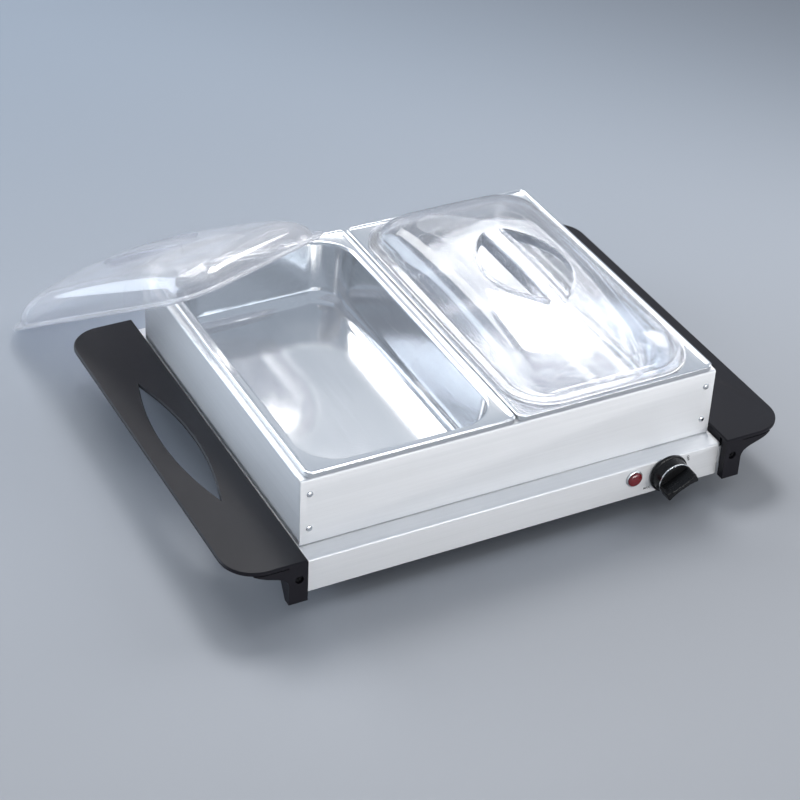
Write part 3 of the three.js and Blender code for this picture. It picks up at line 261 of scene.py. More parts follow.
def moulded(name, own):
    # Moulded plastic, rubber or ink: a fine spark-eroded grain, faint cloudiness and handling
    # marks
    s = {**mouldedSettings, **own}
    finish = Finish(name)
    where = finish.place()
    grain = finish.noise(where, s["grain"], detail=3.0, roughness=0.6)
    cloud = finish.noise(where, s["cloud"], detail=4.0)
    scuff = finish.noise(finish.place(s["scuff"]), detail=4.0, roughness=0.7)
    tone = finish.mixed(cloud, s["dark"], s["light"])
    gloss = finish.around(scuff, s["gloss"], s["glossSpread"]) + grain * s["grainGloss"]
    return finish.done(Base_Color=tone, Roughness=gloss, Specular_IOR_Level=s["shine"],
                       Normal=finish.bump(grain, s))


darkPlastic = moulded("charcoalPlastic", {
    "grain": 2400.0, "cloud": 18.0, "dark": (0.013, 0.0125, 0.0165), "light": (0.018, 0.017, 0.022),
    "gloss": 0.38, "glossSpread": 0.05, "shine": 0.15, "relief": 0.22})
glossBlack = moulded("glossBlackPlastic", {
    "grain": 900.0, "cloud": 60.0, "dark": (0.006, 0.006, 0.0065), "light": (0.010, 0.010, 0.011),
    "gloss": 0.24, "glossSpread": 0.06, "shine": 0.3, "relief": 0.04})
rubber = moulded("blackRubber", {
    "grain": 1500.0, "cloud": 90.0, "dark": (0.012, 0.012, 0.012), "light": (0.026, 0.026, 0.026),
    "gloss": 0.82, "glossSpread": 0.08, "relief": 0.5})
mouldedCream = moulded("mouldedCream", {
    "grain": 1700.0, "cloud": 120.0, "dark": (0.56, 0.54, 0.48), "light": (0.70, 0.68, 0.62),
    "gloss": 0.45, "glossSpread": 0.06, "relief": 0.1})
sleeving = moulded("wovenSleeving", {
    "grain": 2600.0, "cloud": 300.0, "dark": (0.40, 0.30, 0.15), "light": (0.62, 0.50, 0.29),
    "gloss": 0.7, "glossSpread": 0.1, "relief": 0.6})
inkSettings = {
    "grain": 3000.0, "cloud": 900.0, "dark": (0.012, 0.012, 0.012), "light": (0.03, 0.03, 0.03),
    "gloss": 0.5, "glossSpread": 0.08, "relief": 0.05,
}
blackPrint = moulded("blackPrint", inkSettings)
greyPrint = moulded("greyPrint", {
    **inkSettings, "dark": (0.10, 0.10, 0.105), "light": (0.16, 0.16, 0.165)})


def clearMoulded(name, s):
    # Clear moulded plastic with a faint lavender cast, fine scratches and slightly uneven gloss
    finish = Finish(name)
    scratch = finish.noise(finish.place(s["scratches"]), detail=4.0, roughness=0.7)
    flow = finish.noise(finish.place(), s["flow"])
    tone = finish.mixed(flow, s["tint"], s["clear"])
    gloss = finish.between(scratch, s["smooth"], s["scratched"])
    return finish.done(Base_Color=tone, Roughness=gloss, Transmission_Weight=s["clarity"],
                       IOR=s["bending"], Alpha=s["alpha"], Normal=finish.bump(flow, s))


clearSettings = {
    "scratches": (900.0, 120.0, 300.0), "flow": 26.0, "tint": (0.90, 0.91, 0.96),
    "clear": (0.96, 0.97, 1.0), "smooth": 0.015, "scratched": 0.06, "bending": 1.49,
    "alpha": 0.72, "clarity": 0.86, "relief": 0.1, "reliefHeight": 0.6,
}
clearPlastic = clearMoulded("clearPlastic", clearSettings)
# The lid that has been lifted off gets a whiter, less clear copy of the clear plastic: a painted sheen
# for the light it catches
paintedSheenPlastic = clearMoulded("paintedSheenPlastic", {
    **clearSettings, "clarity": 0.70, "tint": (0.94, 0.95, 1.0), "clear": (0.98, 0.98, 1.0)})


def lensMoulded(name, s):
    # Translucent lens with a fine mottle and a glossy skin
    finish = Finish(name)
    mottle = finish.noise(finish.place(), s["mottle"])
    tone = finish.mixed(mottle, s["dark"], s["light"])
    gloss = finish.around(mottle, s["gloss"], s["glossSpread"])
    return finish.done(Base_Color=tone, Roughness=gloss, Coat_Weight=s["skin"],
                       Subsurface_Weight=s["glow"], Normal=finish.bump(mottle, s))


redLens = lensMoulded("redLens", {
    "mottle": 600.0, "dark": (0.13, 0.008, 0.012), "light": (0.26, 0.016, 0.022), "gloss": 0.21,
    "glossSpread": 0.05, "skin": 0.6, "glow": 0.15, "relief": 0.2, "reliefHeight": 0.2})

finishOf = {
    "brushed_steel": brushedAlongX, "polished_steel": polishedSteel, "plated_steel": platedSteel,
    "blackened_steel": blackenedSteel, "aluminium": aluminium, "dark_plastic": darkPlastic,
    "gloss_black": glossBlack, "rubber": rubber, "moulded": mouldedCream, "red_lens": redLens,
    "insulation": sleeving, "clear_plastic": clearPlastic,
}
print("finishes made:", len(bpy.data.materials))

# Meshes from arrays: distances are in metres here, angles in degrees
meshSettings = {"mergeWithin": 1e-6, "shortest": 1e-7, "sharp": 32.0}
refinedSettings = {
    "mergeWithin": 2e-6, "flatWithin": 0.6, "sharp": 34.0, "edgesFrom": 40.0, "edgeSteps": 2,
}


def gridFaces(rows, columns, wrapRows=False, wrapColumns=False):
    # Corner numbers of the quads between neighbouring points of a rows by columns grid
    i, j = np.meshgrid(
        np.arange(rows - (not wrapRows)), np.arange(columns - (not wrapColumns)), indexing="ij")
    down, across = (i + 1) % rows, (j + 1) % columns
    corners = [i * columns + j, i * columns + across, down * columns + across, down * columns + j]
    return np.stack(corners, -1).reshape(-1, 4)


def pieceFrom(name, points, faces, finish, node, sharp=meshSettings["sharp"]):
    # Puts arrays of points in metres and quads into a mesh that stands for a node
    points = np.asarray(points, float).reshape(-1, 3)
    mesh = bpy.data.meshes.new(name)
    mesh.vertices.add(len(points))
    mesh.vertices.foreach_set("co", points.ravel())
    mesh.loops.add(faces.size)
    mesh.loops.foreach_set("vertex_index", faces.ravel())
    mesh.polygons.add(len(faces))
    mesh.polygons.foreach_set("loop_start", np.arange(len(faces)) * faces.shape[1])
    mesh.update(calc_edges=True)
    return dressed(name, mesh, finish, node, sharp=sharp)


def dressed(name, mesh, finish, node=None, body=None, slot=None, sharp=meshSettings["sharp"],
            turnOut=True):
    # Merges doubles, turns the faces outwards, shades the mesh and hands it to the frame, in the
    # place of its node if it has one
    work = bmesh.new()
    work.from_mesh(mesh)
    bmesh.ops.remove_doubles(work, verts=work.verts, dist=meshSettings["mergeWithin"])
    bmesh.ops.dissolve_degenerate(work, edges=work.edges, dist=meshSettings["shortest"])
    if turnOut:
        bmesh.ops.recalc_face_normals(work, faces=work.faces)
    work.to_mesh(mesh)
    work.free()
    mesh.shade_smooth()
    mesh.set_sharp_from_angle(angle=math.radians(sharp))
    mesh.materials.clear()
    mesh.materials.append(finish)
    piece = bpy.data.objects.new(name, mesh)
    bpy.context.scene.collection.objects.link(piece)
    if node:
        body, slot = bodyOf[node], slotOf[node]
        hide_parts(node)
    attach(piece, body)
    return piece


def refined(node, finish, width, s):
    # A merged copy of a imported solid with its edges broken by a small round
    mesh = nodes[node].data.copy()
    mesh.name = node + "_finished"
    work = bmesh.new()
    work.from_mesh(mesh)
    bmesh.ops.remove_doubles(work, verts=work.verts, dist=s["mergeWithin"])
    bmesh.ops.dissolve_limit(work, angle_limit=math.radians(s["flatWithin"]), verts=work.verts,
                             edges=work.edges)
    work.to_mesh(mesh)
    work.free()
    piece = dressed(mesh.name, mesh, finish, node, sharp=s["sharp"], turnOut=False)
    edge = piece.modifiers.new("softened edges", "BEVEL")
    edge.width = width * mm
    edge.segments = s["edgeSteps"]
    edge.limit_method = "ANGLE"
    edge.angle_limit = math.radians(s["edgesFrom"])
    edge.harden_normals = True


def revolved(profile, sides):
    # Points of a profile of (radius, y) turned about the Y axis, as rows of a closed ring
    turn = np.arange(sides) / sides * 2 * math.pi
    radius, along = np.asarray(profile, float).T
    return np.stack([np.outer(radius, np.cos(turn)), np.repeat(along[:, None], sides, 1),
                     np.outer(radius, np.sin(turn))], -1)


def turnedPiece(name, profile, sides, axis, finish, node, ring=False, sharp=meshSettings["sharp"]):
    # A turned form moved to its axis; the profile of a ring closes on itself
    rows = revolved(profile, sides)
    pieceFrom(name, rows * mm + axis, gridFaces(*rows.shape[:2], ring, True), finish, node, sharp)


def arc(centre, radius, start, end, count):
    # Points on a circle round a centre, from one angle to another, in degrees
    angle = np.radians(np.linspace(start, end, count))
    return np.stack([centre[0] + radius * np.cos(angle), centre[1] + radius * np.sin(angle)], -1)


# Pans: one drawn sheet, its profile carried round rounded rectangles that grow outwards
panSettings = {
    "sheet": 0.9, "rimWidth": 10.5, "outerCorner": 7.0, "openingCorner": 36.0, "leastCorner": 0.05,
    "bottomFillet": 15.0, "wallDraft": 6.0, "entryRadius": 3.0, "beadWidth": 2.6, "beadRise": 1.2,
    "beadSlope": 1.4, "beadEdge": 0.9, "lipDrop": 4.8, "depth": 58.0, "floorBand": 1.5,
    "cornerSteps": 20, "filletSteps": 14, "entrySteps": 8, "beadSteps": 7, "sharp": 40.0,
}


def ringsAlong(profile, halfX, halfY, s):
    # Rounded rectangles, one for each row of a profile: its inset from the outline, its height
    # and its corner radius
    steps = s["cornerSteps"] + 1
    turn = np.concatenate([np.linspace(k, k + 1, steps) for k in range(4)]) * quarter
    signX = np.repeat([1, -1, -1, 1], steps)
    signY = np.repeat([1, 1, -1, -1], steps)
    insets, heights, radii = profile.T[:, :, None]
    radii = np.maximum(radii, s["leastCorner"])
    x = signX * (halfX - insets - radii) + radii * np.cos(turn)
    y = signY * (halfY - insets - radii) + radii * np.sin(turn)
    return np.stack([x, y, np.repeat(heights, len(turn), 1)], -1)


def panProfile(s):
    # Inset, height and corner radius from the middle of the floor to the end of the lip, drawn on
    # the inside
    floorInset = s["rimWidth"] + s["wallDraft"] + s["bottomFillet"]
    outlineCorner = s["openingCorner"] + s["rimWidth"]
    band = [[floorInset + s["floorBand"], -s["depth"], outlineCorner - floorInset]]
    fillet = arc((0, 0), s["bottomFillet"], -90, 0, s["filletSteps"])
    inset = floorInset - fillet[:, 0]
    wall = np.stack([inset, fillet[:, 1] + s["bottomFillet"] - s["depth"], outlineCorner - inset], -1)
    entry = arc((0, 0), s["entryRadius"], 0, 90, s["entrySteps"])
    mouth = np.stack([s["rimWidth"] - s["entryRadius"] + entry[:, 0], entry[:, 1] - s["entryRadius"],
                      s["openingCorner"] + s["entryRadius"] - entry[:, 0]], -1)
    corner = s["outerCorner"]
    share = np.linspace(0, 1, s["beadSteps"])
    slope = s["beadWidth"] + s["beadSlope"] * (1 - share)
    bead = np.stack([slope, s["beadRise"] * share * share * (3 - 2 * share), corner - slope], -1)
    edge = arc((s["beadEdge"], s["beadRise"] - s["beadEdge"]), s["beadEdge"], 90, 180, s["beadSteps"])
    turned = np.stack([edge[:, 0], edge[:, 1], corner - edge[:, 0]], -1)
    lip = [[0, s["beadRise"] - s["lipDrop"], corner]]
    return np.vstack([band, wall, mouth, bead, turned, lip])


def otherSide(profile, sheet):
    # The same profile moved by the sheet's thickness to its outer side, along the mean of its two
    # neighbours' normals
    step = np.diff(profile[:, :2], axis=0)
    normal = np.stack([step[:, 1], step[:, 0]], -1) / np.linalg.norm(step, axis=1)[:, None]
    before = np.vstack([[0, -1], normal])
    after = np.vstack([normal, normal[-1:]])
    stretch = sheet / (1 + (before * after).sum(1))
    move = (before + after) * stretch[:, None]
    return np.stack(
        [profile[:, 0] - move[:, 0], profile[:, 1] + move[:, 1], profile[:, 2] + move[:, 0]], -1)


def makePan(node, s):
    # The profile's inner and outer sides in one loop, closed by a point at each middle
    low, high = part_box(node)
    halfX, halfY = (high.x - low.x) / 2 / mm, (high.y - low.y) / 2 / mm
    inside = panProfile(s)
    loop = np.vstack([inside, otherSide(inside, s["sheet"])[::-1]])
    rows = ringsAlong(loop, halfX, halfY, s)
    middles = [np.broadcast_to([0, 0, height], rows[:1].shape) for height in loop[[0, -1], 1]]
    rows = np.concatenate([middles[0], rows, middles[1]])
    rows[..., 2] += high.z / mm - s["beadRise"]
    place = np.array([(low.x + high.x) / 2, (low.y + high.y) / 2, 0])
    pieceFrom(node + "_drawn", rows * mm + place, gridFaces(*rows.shape[:2], False, True),
              polishedSteel, node, s["sharp"])


for node in ("pan_left", "pan_right"):
    makePan(node, panSettings)
print("pans drawn")

# Lids: a flange, a dome with a quarter-ellipse shoulder and a crowned top, and two lens-shaped
# finger cups with a bar between them. Steps are counts of points, but outlineSteps are the places
# of the columns of points beside a cup's outline.
lidSettings = {
    "corner": 42.0, "flange": 9.0, "wall": 2.2, "edgeRound": 0.7, "footFillet": 1.6,
    "footClear": 1.6, "sideShoulder": 22.0, "endShoulder": 34.0, "edgeHeight": 20.0, "crown": 14.8,
    "crownPower": 4, "barWidth": 21.0, "lensLength": 120.0, "lensWidth": 28.0, "barDepth": 14.0,
    "rimDepth": 6.0, "wallStart": 0.4, "wallSpread": 1.3, "patchX": 46.0, "patchY": 72.0,
    "tipBefore": 6.0, "tipAfter": 2.0, "tipWidth": 2.0, "outlineRoom": 6.0,
    "outlineSteps": (-1.0, -0.6, -0.3, 0.0, 0.3, 0.6, 0.9, 1.2, 1.5, 2.0),
    "rowSteps": (18, 17, 5), "columnSteps": (6, 11, 13), "topSteps": 8, "shoulderSteps": 20,
    "filletSteps": 6, "edgeSteps": 5, "sharp": 60.0,
}


def lidShell(width, length, s):
    # Points and quads of one lid, its underside at z = 0 and its middle at x = y = 0. Rings run
    # from the edge of a middle patch outwards over the top, round the flange's edge and back under
    # to a second patch; the patches are height functions of x and y whose columns follow the two
    # lens outlines.
    domeX, domeY = width / 2 - s["flange"], length / 2 - s["flange"]
    topCorner = s["corner"] - s["flange"]

    def crown(x, y):
        # A rise that falls off with the square of both distances from the middle
        return s["crown"] * (1 - (x / domeX) ** 2) * (1 - (y / domeY) ** 2)

    def lens(grow):
        # The straight side of a cup, and the radius and centre of its curved side
        half, bulge = s["lensLength"] / 2 + grow, s["lensWidth"] + 2 * grow
        radius = (half * half + bulge * bulge) / (2 * bulge)
        chord = s["barWidth"] / 2 - grow
        return chord, radius, chord + bulge - radius

    def patchGrid(chord, radius, centre, tip):
        # Places of the patch's points: rows lie closer near the cups' tips, and columns run
        # beside both outlines of each cup
        before, after = tip - s["tipBefore"], tip + s["tipAfter"]
        far, near, rest = s["rowSteps"]
        rows = np.concatenate([np.linspace(0, before, far)[:-1], np.linspace(before, after, near)[:-1],
                               np.linspace(after, s["patchY"], rest)])
        rows = np.concatenate([-rows[:0:-1], rows])
        gap = np.sqrt(np.maximum(radius ** 2 - rows ** 2, 0)) + centre - chord
        gap = np.sqrt(np.maximum(gap, 0) ** 2 + s["tipWidth"] ** 2)
        step = np.array(s["outlineSteps"])
        squeeze = np.minimum(1, gap / s["outlineRoom"])[:, None]
        inner = chord + step * squeeze
        outer = chord + gap[:, None] - step[::-1] * squeeze
        barShare, cupShare, restShare = (np.linspace(0, 1, count)[1:] for count in s["columnSteps"])
        bar = inner[:, :1] * barShare[:-1]
        cup = inner[:, -1:] + (outer[:, :1] - inner[:, -1:]) * cupShare[:-1]
        beyond = outer[:, -1:] + (s["patchX"] - outer[:, -1:]) * restShare
        half = np.hstack([bar, inner, cup, outer, beyond])
        x = np.hstack([-half[:, ::-1], np.zeros((len(rows), 1)), half])
        return x, np.repeat(rows[:, None], x.shape[1], 1)

    def patch(grow, drop):
        # The crowned top, and inside the cups a floor that slopes up from the bar; a smooth step
        # across each outline joins the two
        chord, radius, centre = lens(grow)
        x, y = patchGrid(chord, radius, centre, s["lensLength"] / 2 + grow)
        across = np.abs(x)
        inside = np.minimum(across - chord, radius - np.hypot(across - centre, y))
        blend = np.clip((inside + s["wallStart"]) / s["wallSpread"], 0, 1)
        blend = blend * blend * (3 - 2 * blend)
        middleHeight = s["wall"] + s["edgeHeight"] + s["crown"]
        barFloor = middleHeight - s["barDepth"]
        rimFloor = middleHeight - s["rimDepth"] - s["crown"] / 4
        slope = np.clip((across - s["barWidth"] / 2) / s["lensWidth"], 0, 1)
        top = s["wall"] + s["edgeHeight"] + crown(x, y)
        z = top * (1 - blend) + (barFloor + (rimFloor - barFloor) * slope) * blend - drop
        return np.stack([x, y, z], -1)

    def outline(halfX, halfY, radius, grid):
        # A rounded rectangle with as many points as the grid's edge, each at the same share of
        # its side
        def side(share, across, along):
            straight = along - radius
            run = np.abs(share) * (straight + radius * math.pi / 4)
            turn = np.maximum(run - straight, 0) / radius
            return (across - radius + radius * np.cos(turn),
                    np.sign(share) * (np.minimum(run, straight) + radius * np.sin(turn)))

        sideShare, endShare = grid[:, -1, 1] / s["patchY"], grid[-1, :, 0] / s["patchX"]
        sideX, sideY = side(sideShare[:-1], halfX, halfY)
        endY, endX = side(endShare[:0:-1], halfY, halfX)
        flat = np.concatenate([np.stack([sideX, sideY], -1), np.stack([endX, endY], -1)])
        return np.concatenate([flat, -flat])

    def edgeOf(grid):
        return np.concatenate([grid[:-1, -1], grid[-1, :0:-1], grid[:0:-1, 0], grid[0, :-1]])

    def dome(inwards, drop, grid):
        # The top and shoulder from the patch's edge outwards, for the outer or the inner side of
        # the wall
        rows = []
        first = edgeOf(grid)[:, :2]
        brow = outline(domeX - s["sideShoulder"], domeY - s["endShoulder"], topCorner, grid)
        for share in np.linspace(0, 1, s["topSteps"])[1:]:
            flat = first * (1 - share) + brow * share
            rows.append(np.column_stack([flat, s["wall"] + s["edgeHeight"] + crown(*flat.T) - drop]))
        for turn in np.linspace(quarter, 0, s["shoulderSteps"])[1:]:
            across, rise = 1 - math.cos(turn), math.sin(turn)
            flat = outline(domeX - across * s["sideShoulder"] - inwards * (1 - across),
                           domeY - across * s["endShoulder"] - inwards * (1 - across),
                           topCorner, grid)
            swell = crown(*flat.T) * (1 - (1 - rise) ** s["crownPower"])
            rows.append(np.column_stack([flat, s["wall"] + s["edgeHeight"] * rise + swell - drop]))
        return rows

    top, under = patch(0, 0), patch(s["wall"], s["wall"])

    def flatRing(inset, height):
        flat = outline(width / 2 - inset, length / 2 - inset, s["corner"] - inset, top)
        return np.column_stack([flat, np.full(len(flat), height)])

    foot, edge = s["footFillet"], s["edgeRound"]
    clear = s["wall"] + foot * s["footClear"]
    fillet = arc((s["flange"] - foot, s["wall"] + foot), foot, 0, -90, s["filletSteps"])
    rim = np.vstack([arc((edge, s["wall"] - edge), edge, 90, 180, s["edgeSteps"]),
                     arc((edge, edge), edge, 180, 270, s["edgeSteps"])])
    outer = [row for row in dome(0, 0, top) if row[:, 2].max() > clear]
    outer += [flatRing(inset, height) for inset, height in np.vstack([fillet, rim])]
    inner = dome(s["wall"], s["wall"], under)
    inner[-1][:, 2] = 0
    rings = np.stack([edgeOf(top), *outer, *inner[::-1], edgeOf(under)])
    blocks = [(rings, gridFaces(*rings.shape[:2], False, True))]
    blocks += [(grid, gridFaces(*grid.shape[:2])) for grid in (top, under)]
    points = [block.reshape(-1, 3) for block, faces in blocks]
    starts = np.cumsum([0] + [len(block) for block in points[:-1]])
    faces = [faces + start for (block, faces), start in zip(blocks, starts)]
    return np.concatenate(points), np.concatenate(faces)


# How the lid that has been lifted off leans, in degrees about Z and X
leanSettings = {"turn": 19.8, "tilt": -30.93}


def makeLids(s, lean):
    low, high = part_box("lid_right")
    points, faces = lidShell((high.x - low.x) / mm, (high.y - low.y) / mm, s)
    middle = (low + high) / 2
    place = np.array([middle.x, middle.y, low.z])
    pieceFrom("lid_right_dome", points * mm + place, faces, clearPlastic, "lid_right", s["sharp"])
    turn = Matrix.Rotation(math.radians(lean["turn"]), 3, "Z")
    tilt = Matrix.Rotation(math.radians(lean["tilt"]), 3, "X")
    points = points @ np.array(turn @ tilt).T * mm
    low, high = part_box("lid_left")
    points += (np.array(low) + np.array(high)) / 2 - (points.min(0) + points.max(0)) / 2
    # The leaning lid takes the whiter copy of the clear plastic, a painted sheen
    pieceFrom("lid_left_dome", points, faces, paintedSheenPlastic, "lid_left", s["sharp"])


makeLids(lidSettings, leanSettings)
print("lids moulded")

# Knob: a turned body with a skirt, a thin silver ring round its face and a raised grip bar that
# widens towards both ends. Edges and rounds are radii.
knobSettings = {
    "skirt": 18.5, "skirtHeight": 3.0, "standOff": 0.6, "radius": 17.0, "faceRadius": 16.4,
    "height": 13.0, "edge": 0.8, "faceEdge": 0.2, "dishEdge": 0.3, "dishDepth": 0.25,
    "dishMiddle": 0.35, "trimWidth": 0.8, "trimHeight": 1.0, "trimEdge": 0.25, "sides": 96,
    "edgeSteps": 6, "smallSteps": 4, "sharp": 38.0,
    "gripLength": 32.0, "gripHeight": 11.75, "gripBase": 13.0, "gripTop": 11.5, "waistBase": 9.0,
    "waistTop": 5.0, "flarePower": 4.0, "gripCorner": 1.6, "gripEdge": 0.9, "neckInset": 2.4,
    "neckDepth": 0.8, "gripGap": 0.05, "gripAngle": 26.0, "gripRows": 10, "gripColumns": 21,
    "gripEdgeSteps": 7, "gripCornerSteps": 6,
}


def gripRows(s):
    # Outlines of the grip from its neck in the face out to its end, as rows of a closed ring: two
    # long sides that bend inwards and four rounded corners
    edgeTurn = np.linspace(0, quarter, s["gripEdgeSteps"])[1:]
    straight = s["gripHeight"] - s["gripEdge"]
    out = np.concatenate([
        [-s["neckDepth"], s["gripGap"]], np.linspace(s["gripGap"], straight, s["gripRows"]),
        s["gripHeight"] - s["gripEdge"] * (1 - np.sin(edgeTurn))])
    inset = np.zeros(len(out))
    inset[:2] = s["neckInset"]
    inset[-len(edgeTurn):] = s["gripEdge"] * (1 - np.cos(edgeTurn))
    rows = []
    for level, less in zip(out, inset):
        share = max(level, 0) / s["gripHeight"]
        waist = s["waistBase"] + (s["waistTop"] - s["waistBase"]) * share
        end = s["gripBase"] + (s["gripTop"] - s["gripBase"]) * share
        radius = s["gripCorner"] - less / 2
        reach = s["gripLength"] / 2 - less - radius
        x = np.linspace(-reach, reach, s["gripColumns"])
        flare = np.abs(2 * x / s["gripLength"]) ** s["flarePower"]
        half = (waist + (end - waist) * flare) / 2 - less
        first = arc((reach, half[-1] - radius), radius, 90, 0, s["gripCornerSteps"])[1:]
        second = arc((reach, radius - half[-1]), radius, 0, -90, s["gripCornerSteps"])[:-1]
        outline = np.vstack([np.stack([x, half], -1), first, second])
        outline = np.vstack([outline, -outline])
        rows.append(np.stack([outline[:, 0], np.full(len(outline), -level), outline[:, 1]], -1))
    rows = np.array(rows)
    caps = [np.broadcast_to([0, row[0, 1], 0], rows[:1].shape) for row in (rows[0], rows[-1])]
    return np.concatenate([caps[0], rows, caps[1]])


def makeKnob(s):
    # The knob's fascia plane is y = 0 and its face looks along -Y
    low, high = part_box("knob")
    axis = np.array([(low.x + high.x) / 2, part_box("base_housing")[0].y, (low.z + high.z) / 2])
    back, edge, steps = -s["standOff"], s["edge"], s["edgeSteps"]
    face, foot = back - s["height"], back - s["skirtHeight"]
    trimIn, trimFoot = s["faceRadius"] - s["trimWidth"], face + s["trimHeight"]
    lip, dish, small = s["faceEdge"], s["dishEdge"], s["smallSteps"]
    profile = np.vstack([
        [[nearAxis, back], [s["skirt"] - edge, back]],
        arc((s["skirt"] - edge, back - edge), edge, 90, 0, steps),
        arc((s["skirt"] - edge, foot + edge), edge, 0, -90, steps),
        arc((s["radius"] + edge, foot - edge), edge, 90, 180, steps),
        arc((s["faceRadius"] - lip, trimFoot + lip), lip, 0, -90, small),
        [[trimIn, trimFoot], [trimIn, face + dish]],
        arc((trimIn - dish, face + dish), dish, 0, -90, small),
        [[trimIn / 2, face + s["dishDepth"]], [nearAxis, face + s["dishMiddle"]]],
    ])
    rows = revolved(profile, s["sides"])
    grip = gripRows(s)
    turn = np.array(Matrix.Rotation(math.radians(-s["gripAngle"]), 3, "Y"))
    points = np.vstack([rows.reshape(-1, 3), (grip.reshape(-1, 3) + [0, face, 0]) @ turn.T])
    faces = np.vstack([gridFaces(*rows.shape[:2], False, True),
                       gridFaces(*grip.shape[:2], False, True) + rows[..., 0].size])
    pieceFrom("knob_turned", points * mm + axis, faces, glossBlack, "knob", s["sharp"])
    soft = s["trimEdge"]
    ringProfile = np.vstack([
        arc((s["faceRadius"] - soft, face + soft), soft, 0, -90, small),
        arc((trimIn + soft, face + soft), soft, -90, -180, small),
        [[trimIn, trimFoot], [s["faceRadius"], trimFoot]],
    ])
    turnedPiece("knob_trim_ring", ringProfile, s["sides"], axis, polishedSteel, "knob_trim", True,
                s["sharp"])
    return axis


knobAxis = makeKnob(knobSettings)

# Rivets and the lamp: turned forms placed on the panels
rivetSettings = {
    "head": 2.9, "height": 1.1, "stand": 0.3, "foot": 0.2, "rimAngle": 14.0, "steps": 9, "sides": 32,
}


def makeRivets(s):
    # A shallow elliptic dome with a small flat foot, on the outer face of its panel; those at the
    # back face the other way
    swell = np.radians(np.linspace(90, s["rimAngle"], s["steps"]))
    dome = np.stack([s["head"] * np.cos(swell), -s["stand"] - s["height"] * np.sin(swell)], -1)
    footY = s["foot"] - s["stand"]
    profile = np.vstack([dome, [[s["head"], footY], [nearAxis, footY]]])
    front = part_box("frame_front")[0].y
    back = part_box("frame_back")[1].y
    for node in [name for name in nodes if name.startswith("rivet_")]:
        low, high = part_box(node)
        rows = revolved(profile, s["sides"]) * mm
        if "_back_" in node:
            rows *= [-1, -1, 1]
        rows += [(low.x + high.x) / 2, back if "_back_" in node else front, (low.z + high.z) / 2]
        pieceFrom(node + "_dome", rows, gridFaces(*rows.shape[:2], False, True), polishedSteel, node)


makeRivets(rivetSettings)

lampSettings = {
    "lens": 7.0, "bulge": 3.0, "lensEdge": 0.6, "stem": 4.0, "stemLength": 3.0, "seat": 0.6,
    "gap": 0.3, "bezel": 8.2, "bezelHeight": 1.5, "bezelEdge": 0.45, "bezelSlope": 0.3,
    "stand": 0.3, "bore": 4.3, "barrel": 5.4, "length": 22.0, "sides": 48, "steps": 12,
    "edgeSteps": 6,
}


def makeLamp(s):
    # A domed lens over a thin bright bezel whose face slopes outwards, both turned about the
    # lamp's own axis
    low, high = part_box("lamp_lens")
    axis = np.array([(low.x + high.x) / 2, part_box("base_housing")[0].y, (low.z + high.z) / 2])
    seat = -s["seat"] - s["bezelHeight"] / 2
    swell = np.radians(np.linspace(90, 0, s["steps"]))
    bulge = s["lensEdge"] + (s["bulge"] - s["lensEdge"]) * np.sin(swell)
    stemEnd = seat + s["stemLength"]
    lens = np.vstack([
        np.stack([s["lens"] * np.cos(swell), seat - bulge], -1),
        [[s["lens"], seat], [s["stem"], seat], [s["stem"], stemEnd], [nearAxis, stemEnd]],
    ])
    turnedPiece("lamp_lens_dome", lens, s["sides"], axis, redLens, "lamp_lens")
    inside, face = s["lens"] + s["gap"], -s["stand"] - s["bezelHeight"]
    edge = s["bezelEdge"]
    bezel = np.vstack([
        [[s["bore"], seat], [inside, seat], [inside, face]],
        arc((s["bezel"] - edge, face + s["bezelSlope"] + edge), edge, -90, 0, s["edgeSteps"]),
        [[s["bezel"], -s["stand"]], [s["barrel"], -s["stand"]],
         [s["barrel"], s["length"]], [s["bore"], s["length"]]],
    ])
    turnedPiece("lamp_bezel", bezel, s["sides"], axis, aluminium, "lamp_housing", True)


makeLamp(lampSettings)
print("knob, rivets and lamp turned")

# Dial marks: plain words round the knob, printed on the fascia; each has its angle round the
# knob's axis, its distance from it, its own turn, its letter height and its ink
markSettings = {
    "words": (("OFF", 24.0, 22.3, -82.0, 2.5, blackPrint), ("MIN", -26.0, 22.6, 0.0, 2.3, greyPrint),
              ("MAX", 209.0, 23.2, 0.0, 2.3, greyPrint)),
    "sizeShare": 1.35, "print": 0.05, "weight": 0.07,
}


def makeMarks(s, axis):
    for word, angle, radius, slant, height, ink in s["words"]:
        curve = bpy.data.curves.new(word, "FONT")
        curve.body = word
        curve.size = height * mm * s["sizeShare"]
        curve.align_x = "CENTER"
        curve.align_y = "CENTER"
        curve.offset = s["weight"] * mm
        curve.extrude = s["print"] * mm / 2
        holder = bpy.data.objects.new(word, curve)
        bpy.context.scene.collection.objects.link(holder)
        bpy.context.view_layer.update()
        graph = bpy.context.evaluated_depsgraph_get()
        mesh = bpy.data.meshes.new_from_object(holder.evaluated_get(graph))
        bpy.data.objects.remove(holder)
        turn = math.radians(angle)
        lift = Vector((math.cos(turn) * radius, -s["print"] / 2, math.sin(turn) * radius)) * mm
        upright = Matrix.Rotation(quarter, 4, "X") @ Matrix.Rotation(math.radians(slant), 4, "Z")
        mesh.transform(Matrix.Translation(Vector(axis) + lift) @ upright)
        dressed("mark_" + word.lower(), mesh, ink, body="base", slot="gloss_black", turnOut=False)


makeMarks(markSettings, knobAxis)
print("dial marks printed")

